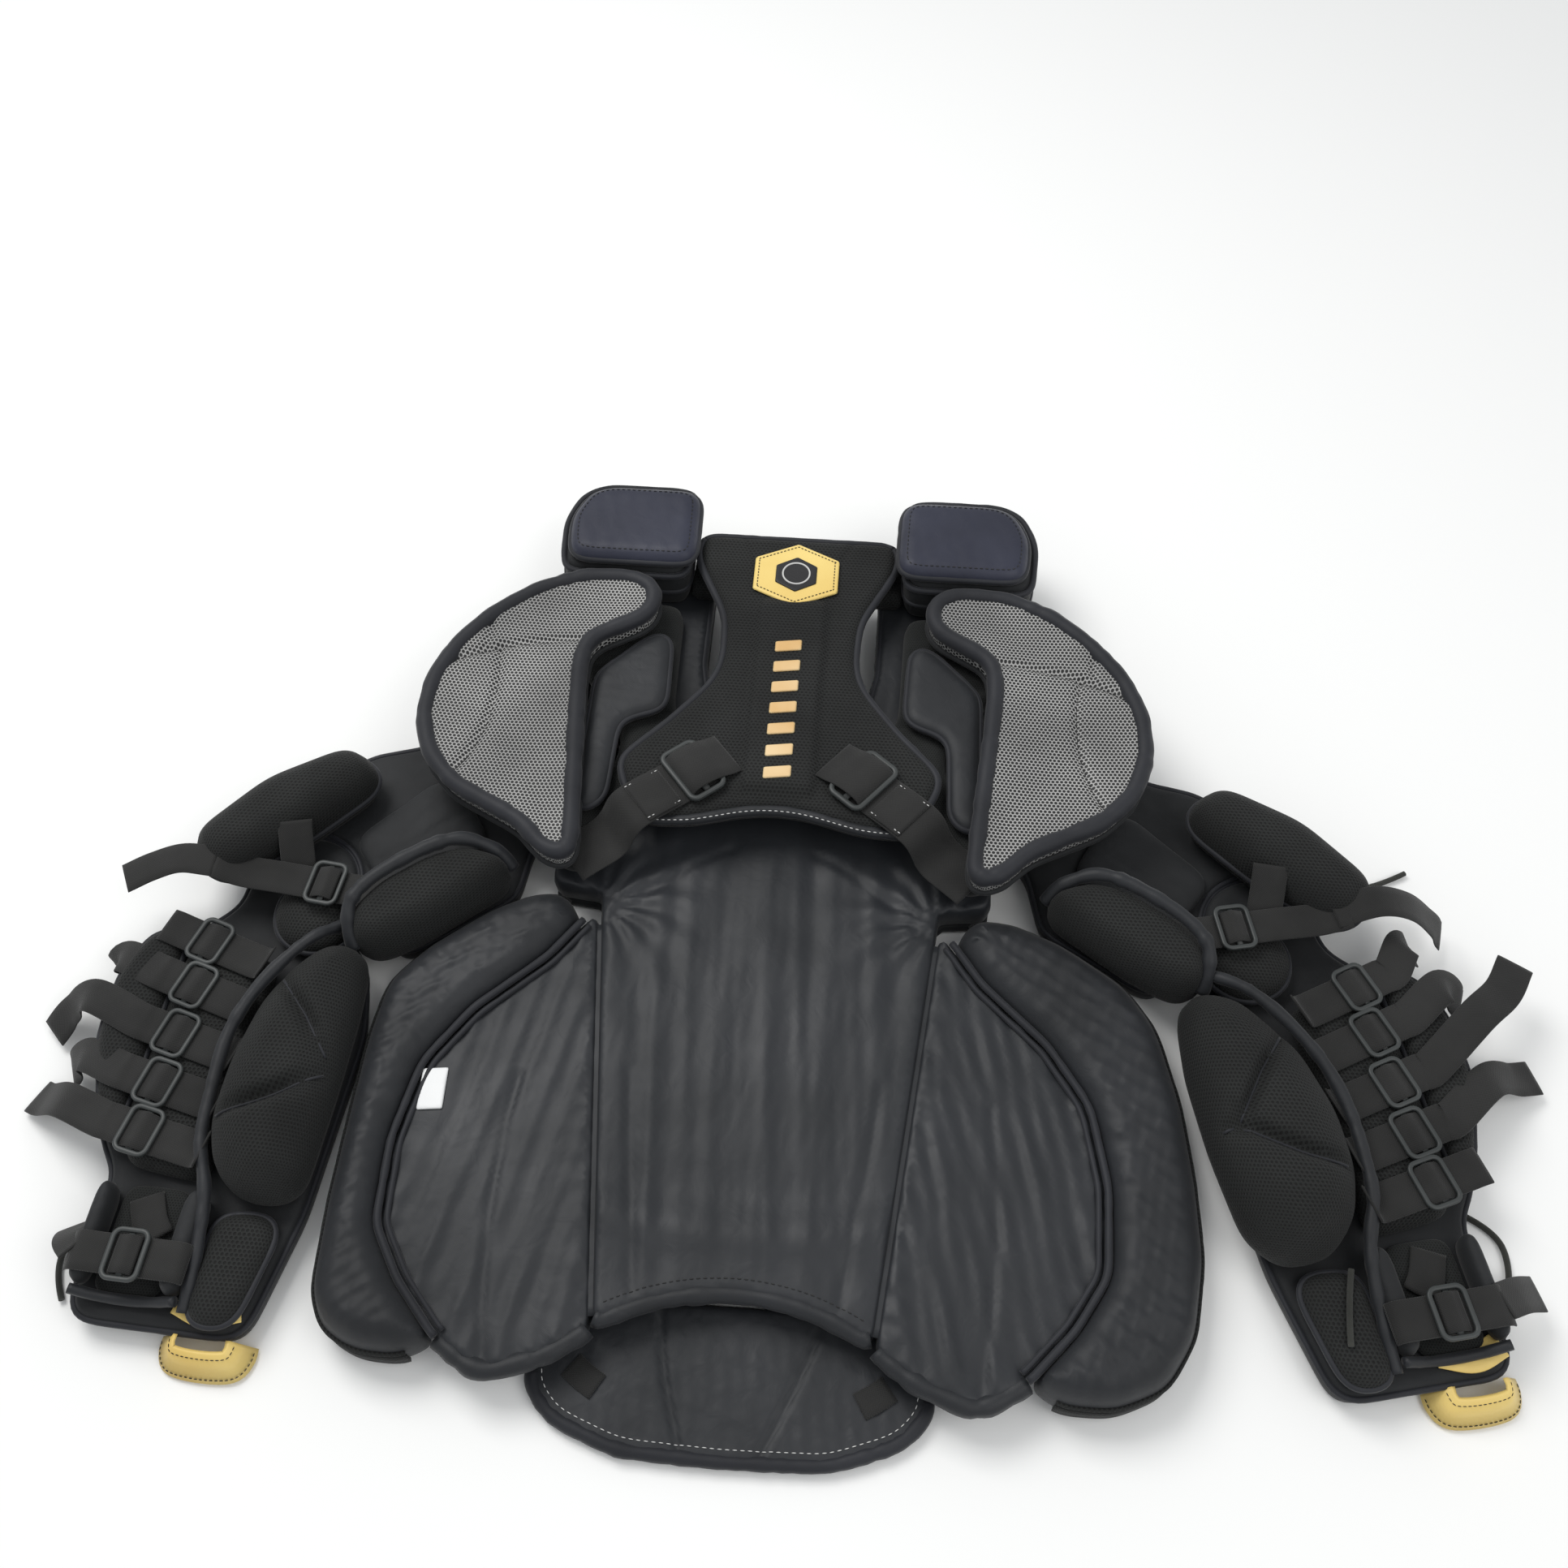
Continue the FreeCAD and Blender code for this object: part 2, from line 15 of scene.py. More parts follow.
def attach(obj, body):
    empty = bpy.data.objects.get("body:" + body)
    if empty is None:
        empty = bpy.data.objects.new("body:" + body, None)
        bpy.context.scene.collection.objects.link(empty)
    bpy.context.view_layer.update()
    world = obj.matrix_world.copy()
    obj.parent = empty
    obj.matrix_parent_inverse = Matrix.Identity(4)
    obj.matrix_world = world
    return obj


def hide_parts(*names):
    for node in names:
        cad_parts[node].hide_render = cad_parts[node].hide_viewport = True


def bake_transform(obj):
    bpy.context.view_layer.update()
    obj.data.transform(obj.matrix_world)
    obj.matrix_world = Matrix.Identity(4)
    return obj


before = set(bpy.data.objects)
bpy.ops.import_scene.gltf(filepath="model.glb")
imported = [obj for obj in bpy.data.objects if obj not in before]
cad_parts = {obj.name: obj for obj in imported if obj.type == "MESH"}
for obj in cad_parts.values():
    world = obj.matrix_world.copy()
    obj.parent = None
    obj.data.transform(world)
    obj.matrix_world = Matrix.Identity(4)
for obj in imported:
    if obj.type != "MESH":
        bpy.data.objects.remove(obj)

LOG = logging.getLogger("protector")
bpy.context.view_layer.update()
MM = 0.001
Points = Sequence[tuple[float, ...]]
Relief = Callable[[np.ndarray, np.ndarray, np.ndarray, np.ndarray], np.ndarray]


# ------------------------------------------------------------------ outlines and paths


def rounded_ring(points: Points, step: float, soft: float = 0.0) -> np.ndarray:
    """Closed outline with rounded corners, sampled evenly.

    Args:
        points: Corner points in mm, each with an optional corner radius.
        step: Distance between samples in mm.
        soft: Reach in mm over which the outline is eased.

    Returns:
        Ring of samples, anticlockwise.
    """
    corners = [tuple(p) + (0.0,) * (3 - len(p)) for p in points]
    area = sum(a[0] * b[1] - b[0] * a[1] for a, b in zip(corners, corners[1:] + corners[:1]))
    if area < 0:
        corners.reverse()
    line: list[np.ndarray] = []
    for i, (x, y, r) in enumerate(corners):
        here = np.array([x, y])
        d0 = np.array(corners[i - 1][:2]) - here
        d1 = np.array(corners[(i + 1) % len(corners)][:2]) - here
        d0, d1 = d0 / np.linalg.norm(d0), d1 / np.linalg.norm(d1)
        turn = math.pi - math.acos(float(np.clip(d0 @ d1, -1, 1)))
        if r < 0.05 or turn < 0.02:
            line.append(here)
            continue
        reach = r * math.tan(turn / 2)
        middle = (d0 + d1) / np.linalg.norm(d0 + d1)
        centre = here + middle * (r / math.cos(turn / 2))
        start, end = here + d0 * reach - centre, here + d1 * reach - centre
        count = max(3, int(r * turn / step) + 2)
        for k in range(count):
            t = k / (count - 1)
            spread = math.sin(turn) or 1.0
            arm = (start * math.sin((1 - t) * turn) + end * math.sin(t * turn)) / spread
            line.append(centre + arm)
    ring = even_steps(np.array(line), step, True)
    for _ in range(int(round((soft / step) ** 2 * 2))):
        ring = 0.5 * ring + 0.25 * (np.roll(ring, 1, 0) + np.roll(ring, -1, 0))
    return ring


def even_steps(line: np.ndarray, step: float, closed: bool = False) -> np.ndarray:
    """Resample a line of any dimension at about equal steps."""
    path = np.vstack([line, line[:1]]) if closed else line
    keep = np.concatenate([[True], np.linalg.norm(np.diff(path, axis=0), axis=1) > 1e-6])
    path = path[keep]
    run = np.concatenate([[0], np.cumsum(np.linalg.norm(np.diff(path, axis=0), axis=1))])
    count = max(4, int(round(run[-1] / step)))
    places = np.linspace(0, run[-1], count + 1)
    if closed:
        places = places[:-1]
    return np.stack([np.interp(places, run, path[:, k]) for k in range(path.shape[1])], axis=1)


def flowing(points: Points, step: float = 3.0) -> np.ndarray:
    """Smooth open curve through points, by Catmull-Rom, sampled evenly."""
    p = np.array(points, float)
    p = np.vstack([2 * p[0] - p[1], p, 2 * p[-1] - p[-2]])
    out = []
    for a, b, c, d in zip(p, p[1:], p[2:], p[3:]):
        for t in np.linspace(0, 1, 12, endpoint=False):
            out.append(0.5 * (2 * b + (c - a) * t + (2 * a - 5 * b + 4 * c - d) * t * t
                              + (3 * b - a - 3 * c + d) * t ** 3))
    out.append(p[-2])
    return even_steps(np.array(out), step)


def line_distance(xy: np.ndarray, line: np.ndarray, closed: bool) -> tuple[np.ndarray, np.ndarray, np.ndarray]:
    """Nearest distance from points to a line, the run along it there, and the side normal.

    Args:
        xy: Points in mm.
        line: Line samples in mm.
        closed: Whether the line is a ring.

    Returns:
        Distance, run along the line, and right-hand normal at the nearest place.
    """
    a = line
    b = np.roll(line, -1, axis=0) if closed else line[1:]
    a = a if closed else line[:-1]
    ab = b - a
    length = np.linalg.norm(ab, axis=1)
    start = np.concatenate([[0], np.cumsum(length)[:-1]])
    best = np.full(len(xy), 1e9)
    run = np.zeros(len(xy))
    normal = np.zeros((len(xy), 2))
    for i in range(len(a)):
        rel = xy - a[i]
        t = np.clip(rel @ ab[i] / max(length[i] ** 2, 1e-9), 0, 1)
        d = np.linalg.norm(rel - t[:, None] * ab[i], axis=1)
        near = d < best
        best[near] = d[near]
        run[near] = start[i] + t[near] * length[i]
        normal[near] = np.array([ab[i][1], -ab[i][0]]) / max(length[i], 1e-9)
    return best, run, normal


def inside(xy: np.ndarray, ring: np.ndarray) -> np.ndarray:
    """Mask of the points that lie inside a ring."""
    x, y = xy[:, 0], xy[:, 1]
    result = np.zeros(len(xy), bool)
    for (x0, y0), (x1, y1) in zip(ring, np.roll(ring, -1, axis=0)):
        crosses = (y0 > y) != (y1 > y)
        with np.errstate(divide="ignore", invalid="ignore"):
            cut = (x1 - x0) * (y - y0) / (y1 - y0) + x0
        result ^= crosses & (x < cut)
    return result


def creases(x: np.ndarray, y: np.ndarray, along: float, wave: float, seed: int, spread: float = 0.25) -> np.ndarray:
    """Soft uneven folds that run mostly one way, between about -1 and 1.

    Args:
        x: Plan X in mm.
        y: Plan Y in mm.
        along: Direction the folds run, in radians.
        wave: Typical spacing of the folds in mm.
        seed: Seed of the random draws.
        spread: How far directions stray, in radians.

    Returns:
        Fold height at each place.
    """
    rng = np.random.default_rng(seed)
    total = np.zeros(len(x))
    for k in range(7):
        turn = along + rng.normal(0, spread) + math.pi / 2
        length = wave * rng.uniform(0.6, 2.4)
        u = x * math.cos(turn) + y * math.sin(turn)
        v = -x * math.sin(turn) + y * math.cos(turn)
        bend = 0.5 * np.sin(v / (wave * 3.4) + rng.uniform(0, 6.3)) + 0.25 * np.sin(v / (wave * 1.6) + rng.uniform(0,
                6.3))
        s = np.sin(2 * math.pi * u / length + rng.uniform(0, 6.3) + bend)
        total += (1 - 2 * np.abs(s) ** 0.7) * rng.uniform(0.5, 1.0) * (0.6 + 0.4 * np.sin(v / (wave * 3.1) + k))
    return total / 4.0


# ------------------------------------------------------------------ finishes


class Pattern(Enum):
    """Surface structures found on the protector."""

    MESH = "mesh"
    WEAVE = "weave"
    SATIN = "satin"
    RIB = "rib"
    HIDE = "hide"
    MOULDED = "moulded"
    THREAD = "thread"


@dataclass(frozen=True)
class Finish:
    """One finish: colours, structure and its strengths."""

    name: str
    slot: str
    colour: tuple[float, float, float]
    light: tuple[float, float, float]
    pattern: Pattern
    roughness: float = 0.8
    sheen: float = 0.0
    scale: float = 300.0
    bump: float = 0.4
    hole: tuple[float, float, float] = (0.003, 0.003, 0.003)
    by_object: bool = False


AIR_MESH = Finish("air_mesh", "mesh_black", (0.0066, 0.0075, 0.0072), (0.0126, 0.0141, 0.0135), Pattern.MESH, 0.8,
        0.05, 330.0, 1.0, (0.0012, 0.0012, 0.0012))
FINE_MESH = Finish("fine_mesh", "mesh_black", (0.009, 0.0105, 0.010), (0.018, 0.020, 0.0195), Pattern.MESH, 0.9, 0.08,
        520.0, 0.5)
SILVER_MESH = Finish("silver_mesh", "mesh_grey", (0.2788, 0.2788, 0.2747), (0.4264, 0.4264, 0.4182), Pattern.MESH,
        0.6, 0.0, 330.0, 0.9, (0.012, 0.012, 0.013))
LINER = Finish("liner_satin", "nylon_liner", (0.0119, 0.01365, 0.01645), (0.0217, 0.0238, 0.028), Pattern.SATIN, 0.5,
        0.05, 900.0, 0.35)
SLATE = Finish("slate_nylon", "nylon_slate", (0.00868, 0.00992, 0.01209), (0.01736, 0.01922, 0.02294), Pattern.WEAVE,
        0.52, 0.08, 800.0, 0.4)
SHELL = Finish("shell_nylon", "nylon_slate", (0.0075, 0.0083, 0.0095), (0.014, 0.0155, 0.0175), Pattern.WEAVE, 0.7,
        0.08, 800.0, 0.4)
NAVY = Finish("navy_satin", "satin_navy", (0.014, 0.016, 0.030), (0.028, 0.031, 0.052), Pattern.SATIN, 0.5, 0.05,
        900.0, 0.35)
PIPING = Finish("piping", "nylon_slate", (0.0085, 0.0095, 0.013), (0.017, 0.0185, 0.024), Pattern.WEAVE, 0.62, 0.10,
        900.0, 0.35)
WEBBING = Finish("webbing", "webbing", (0.008, 0.008, 0.0078), (0.017, 0.017, 0.0165), Pattern.RIB, 0.75, 0.12, 1.0,
        0.6)
GOLD = Finish("gold_hide", "gold_trim", (0.74, 0.52, 0.15), (0.86, 0.66, 0.23), Pattern.HIDE, 0.42, 0.0, 700.0, 0.3)
BLACK_HIDE = Finish("black_hide", "mesh_black", (0.010, 0.010, 0.011), (0.02, 0.02, 0.022), Pattern.HIDE, 0.5, 0.0,
        700.0, 0.3)
AMBER = Finish("amber_thread", "gold_trim", (0.62, 0.36, 0.12), (0.80, 0.60, 0.34), Pattern.THREAD, 0.55, 0.0, 500.0,
        0.5)
WHITE_THREAD = Finish("pale_thread", "label_white", (0.50, 0.50, 0.50), (0.62, 0.62, 0.60), Pattern.THREAD, 0.8, 0.0,
        900.0, 0.3)
DARK_THREAD = Finish("dark_thread", "webbing", (0.012, 0.012, 0.012), (0.03, 0.03, 0.03), Pattern.THREAD, 0.8, 0.0,
        900.0, 0.3)
LABEL = Finish("label_satin", "label_white", (0.74, 0.75, 0.76), (0.84, 0.85, 0.85), Pattern.SATIN, 0.5, 0.0, 600.0,
        0.3)
PLASTIC = Finish("slide_plastic", "slide_plastic", (0.030, 0.034, 0.034), (0.052, 0.057, 0.057), Pattern.MOULDED,
        0.42, 0.0, 500.0, 0.15, by_object=True)
LACE = Finish("braided_lace", "lace_cord", (0.016, 0.017, 0.014), (0.05, 0.052, 0.045), Pattern.THREAD, 0.8, 0.1,
        700.0, 0.8)


class NodeBench:
    """Builds the shared node groups and one material for each finish."""

    def __init__(self) -> None:
        """Start with no groups and no materials."""
        self.made: dict[str, bpy.types.Material] = {}
        self.groups = {"mesh": self.hex_mesh(), "weave": self.weave(), "cloth": self.cloth_tone(),
                "edges": self.edge_wear()}

    @staticmethod
    def group(name: str, inputs: Sequence[tuple[str, str, float]], outputs: Sequence[tuple[str, str]]) -> tuple:
        """Make an empty group with its sockets.

        Args:
            name: Group name.
            inputs: Socket name, type and default value.
            outputs: Socket name and type.

        Returns:
            The group, its input node and its output node.
        """
        tree = bpy.data.node_groups.new(name, "ShaderNodeTree")
        for label, kind, value in inputs:
            socket = tree.interface.new_socket(label, in_out="INPUT", socket_type=kind)
            if kind == "NodeSocketFloat":
                socket.default_value = value
        for label, kind in outputs:
            tree.interface.new_socket(label, in_out="OUTPUT", socket_type=kind)
        return tree, tree.nodes.new("NodeGroupInput"), tree.nodes.new("NodeGroupOutput")

    @staticmethod
    def math(tree: bpy.types.NodeTree, operation: str, *values: object) -> bpy.types.NodeSocket:
        """Add a Math node and return its result; values are numbers or sockets."""
        node = tree.nodes.new("ShaderNodeMath")
        node.operation = operation
        for i, value in enumerate(values):
            if isinstance(value, (int, float)):
                node.inputs[i].default_value = value
            else:
                tree.links.new(value, node.inputs[i])
        return node.outputs[0]

    def hex_mesh(self) -> bpy.types.NodeTree:
        """Open air mesh: round holes in staggered rows."""
        tree, start, end = self.group("open_mesh_holes", [("Vector", "NodeSocketVector", 0.0),
                ("Rows", "NodeSocketFloat", 300.0), ("Hole", "NodeSocketFloat", 0.3)],
                [("Mask", "NodeSocketFloat"), ("Height", "NodeSocketFloat")])
        split = tree.nodes.new("ShaderNodeSeparateXYZ")
        tree.links.new(start.outputs["Vector"], split.inputs[0])
        u = self.math(tree, "MULTIPLY", split.outputs[0], start.outputs["Rows"])
        v = self.math(tree, "MULTIPLY", split.outputs[1], start.outputs["Rows"])
        near = []
        for shift in (0.0, 0.5):
            a = self.math(tree, "SUBTRACT", self.math(tree, "FRACT", self.math(tree, "ADD", u, shift)), 0.5)
            row = self.math(tree, "ADD", self.math(tree, "DIVIDE", v, 1.732), shift)
            b = self.math(tree, "MULTIPLY", self.math(tree, "SUBTRACT", self.math(tree, "FRACT", row), 0.5), 1.732)
            near.append(self.math(tree, "SQRT", self.math(tree, "ADD", self.math(tree, "MULTIPLY", a, a),
                    self.math(tree, "MULTIPLY", b, b))))
        d = self.math(tree, "MINIMUM", near[0], near[1])
        ramp = tree.nodes.new("ShaderNodeMapRange")
        ramp.interpolation_type = "SMOOTHSTEP"
        tree.links.new(d, ramp.inputs["Value"])
        tree.links.new(self.math(tree, "SUBTRACT", start.outputs["Hole"], 0.08), ramp.inputs["From Min"])
        tree.links.new(self.math(tree, "ADD", start.outputs["Hole"], 0.08), ramp.inputs["From Max"])
        ramp.inputs["To Min"].default_value, ramp.inputs["To Max"].default_value = 1.0, 0.0
        tree.links.new(ramp.outputs[0], end.inputs["Mask"])
        tree.links.new(self.math(tree, "SUBTRACT", 1.0, ramp.outputs[0]), end.inputs["Height"])
        return tree

    def weave(self) -> bpy.types.NodeTree:
        """Over-and-under weave of fine yarns."""
        tree, start, end = self.group("fine_weave", [("Vector", "NodeSocketVector", 0.0),
                ("Yarns", "NodeSocketFloat", 800.0)], [("Height", "NodeSocketFloat")])
        split = tree.nodes.new("ShaderNodeSeparateXYZ")
        tree.links.new(start.outputs["Vector"], split.inputs[0])
        waves = []
        for k in (0, 1):
            at = self.math(tree, "MULTIPLY", split.outputs[k], start.outputs["Yarns"])
            waves.append(self.math(tree, "SINE", self.math(tree, "MULTIPLY", at, 6.2832)))
        product = self.math(tree, "MULTIPLY", waves[0], waves[1])
        tree.links.new(self.math(tree, "MULTIPLY_ADD", product, 0.5, 0.5), end.inputs["Height"])
        return tree

    def cloth_tone(self) -> bpy.types.NodeTree:
        """Uneven tone and small creases that any used cloth has."""
        tree, start, end = self.group("used_cloth", [("Vector", "NodeSocketVector", 0.0),
                ("Size", "NodeSocketFloat", 14.0)], [("Tone", "NodeSocketFloat"), ("Crease", "NodeSocketFloat")])
        outs = []
        for factor, detail, twist in ((1.0, 4.0, 0.0), (5.0, 3.0, 0.8)):
            noise = tree.nodes.new("ShaderNodeTexNoise")
            noise.inputs["Detail"].default_value = detail
            noise.inputs["Distortion"].default_value = twist
            tree.links.new(start.outputs["Vector"], noise.inputs["Vector"])
            tree.links.new(self.math(tree, "MULTIPLY", start.outputs["Size"], factor), noise.inputs["Scale"])
            outs.append(noise.outputs[0])
        ramp = tree.nodes.new("ShaderNodeMapRange")
        tree.links.new(outs[0], ramp.inputs["Value"])
        ramp.inputs["From Min"].default_value, ramp.inputs["From Max"].default_value = 0.3, 0.7
        tree.links.new(ramp.outputs[0], end.inputs["Tone"])
        tree.links.new(outs[1], end.inputs["Crease"])
        return tree

    def edge_wear(self) -> bpy.types.NodeTree:
        """Rubbed edges: a broken-up mask where the surface bends outward."""
        tree, start, end = self.group("edge_wear", [("Vector", "NodeSocketVector", 0.0),
                ("Amount", "NodeSocketFloat", 0.4)], [("Worn", "NodeSocketFloat")])
        shape = tree.nodes.new("ShaderNodeNewGeometry")
        ramp = tree.nodes.new("ShaderNodeMapRange")
        ramp.interpolation_type = "SMOOTHSTEP"
        ramp.inputs["From Min"].default_value, ramp.inputs["From Max"].default_value = 0.53, 0.62
        tree.links.new(shape.outputs["Pointiness"], ramp.inputs["Value"])
        noise = tree.nodes.new("ShaderNodeTexNoise")
        noise.inputs["Scale"].default_value = 90.0
        tree.links.new(start.outputs["Vector"], noise.inputs["Vector"])
        broken = self.math(tree, "MULTIPLY", ramp.outputs[0], noise.outputs[0])
        tree.links.new(self.math(tree, "MULTIPLY", broken, start.outputs["Amount"]), end.inputs["Worn"])
        return tree

    def place(self, tree: bpy.types.NodeTree, kind: str, vector: bpy.types.NodeSocket,
            **values: float) -> bpy.types.Node:
        """Put a shared group into a material with its own values."""
        node = tree.nodes.new("ShaderNodeGroup")
        node.node_tree = self.groups[kind]
        tree.links.new(vector, node.inputs["Vector"])
        for label, value in values.items():
            node.inputs[label].default_value = value
        return node

    def material(self, finish: Finish) -> bpy.types.Material:
        """Material of a finish, made on first use."""
        if finish.name in self.made:
            return self.made[finish.name]
        made = bpy.data.materials.new(finish.name)
        made.use_nodes = True
        tree = made.node_tree
        shader = tree.nodes["Principled BSDF"]
        shader.inputs["Sheen Weight"].default_value = finish.sheen
        shader.inputs["Sheen Roughness"].default_value = 0.5
        shader.inputs["Specular IOR Level"].default_value = 0.35
        place = tree.nodes.new("ShaderNodeTexCoord")
        solid = place.outputs["Object"]
        flat = solid if finish.by_object else place.outputs["UV"]
        cloth = self.place(tree, "cloth", solid, Size=14.0)
        mix = tree.nodes.new("ShaderNodeMix")
        mix.data_type = "RGBA"
        tree.links.new(cloth.outputs["Tone"], mix.inputs["Factor"])
        mix.inputs["A"].default_value = finish.colour + (1.0,)
        mix.inputs["B"].default_value = finish.light + (1.0,)
        rubbed = tree.nodes.new("ShaderNodeMix")
        rubbed.data_type = "RGBA"
        tree.links.new(self.place(tree, "edges", solid, Amount=0.4).outputs["Worn"], rubbed.inputs["Factor"])
        tree.links.new(mix.outputs["Result"], rubbed.inputs["A"])
        rubbed.inputs["B"].default_value = tuple(min(c * 1.7, 0.9) for c in finish.light) + (1.0,)
        colour = rubbed.outputs["Result"]
        rough = tree.nodes.new("ShaderNodeMapRange")
        tree.links.new(cloth.outputs["Tone"], rough.inputs["Value"])
        rough.inputs["To Min"].default_value = finish.roughness + 0.06
        rough.inputs["To Max"].default_value = finish.roughness - 0.06
        tree.links.new(rough.outputs[0], shader.inputs["Roughness"])
        heights = [(cloth.outputs["Crease"], 0.0012 if finish.pattern in (Pattern.SATIN, Pattern.WEAVE) else 0.0004)]
        if finish.pattern is Pattern.MESH:
            holes = self.place(tree, "mesh", flat, Rows=finish.scale, Hole=0.36 if finish is SILVER_MESH else 0.29)
            pitted = tree.nodes.new("ShaderNodeMix")
            pitted.data_type = "RGBA"
            tree.links.new(holes.outputs["Mask"], pitted.inputs["Factor"])
            tree.links.new(colour, pitted.inputs["A"])
            pitted.inputs["B"].default_value = finish.hole + (1.0,)
            colour = pitted.outputs["Result"]
            heights.append((holes.outputs["Height"], 0.0006))
        elif finish.pattern is Pattern.RIB:
            ribs = self.place(tree, "weave", flat, Yarns=620.0)
            heights.append((ribs.outputs["Height"], 0.0003))
        elif finish.pattern in (Pattern.WEAVE, Pattern.SATIN, Pattern.THREAD):
            yarns = self.place(tree, "weave", flat, Yarns=finish.scale)
            heights.append((yarns.outputs["Height"], 0.00008 if finish.pattern is Pattern.SATIN else 0.00015))
        else:
            grain = tree.nodes.new("ShaderNodeTexVoronoi")
            grain.inputs["Scale"].default_value = finish.scale
            tree.links.new(solid, grain.inputs["Vector"])
            heights.append((grain.outputs["Distance"], 0.0002))
        normal = None
        for height, depth in heights:
            bump = tree.nodes.new("ShaderNodeBump")
            bump.inputs["Strength"].default_value = finish.bump
            bump.inputs["Distance"].default_value = depth
            tree.links.new(height, bump.inputs["Height"])
            if normal is not None:
                tree.links.new(normal, bump.inputs["Normal"])
            normal = bump.outputs["Normal"]
        tree.links.new(colour, shader.inputs["Base Color"])
        tree.links.new(normal, shader.inputs["Normal"])
        self.made[finish.name] = made
        return made


BENCH = NodeBench()


# ------------------------------------------------------------------ pieces


def make_piece(name: str, verts: np.ndarray, faces: Sequence[Sequence[int]], uvs: np.ndarray, finish: Finish,
        body: str | None, nodes: Sequence[str] = ()) -> bpy.types.Object:
    """Turn mesh data in mm into a dressed piece that rides on a body.

    Args:
        name: Piece name.
        verts: Vertices in mm.
        faces: Faces as vertex numbers.
        uvs: One texture place per vertex, in metres.
        finish: The finish it wears.
        body: CAD body it moves with, or None to leave it on no body.
        nodes: CAD nodes that it stands for.

    Returns:
        The new object.
    """
    mesh = bpy.data.meshes.new(name)
    mesh.from_pydata((np.asarray(verts) * MM).tolist(), [], [list(map(int, f)) for f in faces])
    layer = mesh.uv_layers.new(name="cloth")
    loops = np.zeros(len(mesh.loops), np.int32)
    mesh.loops.foreach_get("vertex_index", loops)
    layer.data.foreach_set("uv", np.asarray(uvs, float)[loops].astype(np.float32).ravel())
    mesh.polygons.foreach_set("use_smooth", [True] * len(mesh.polygons))
    mesh.materials.append(BENCH.material(finish))
    mesh.update()
    piece = bpy.data.objects.new(name, mesh)
    bpy.context.scene.collection.objects.link(piece)
    if body:
        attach(piece, body)
    if nodes:
        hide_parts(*nodes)
    return piece


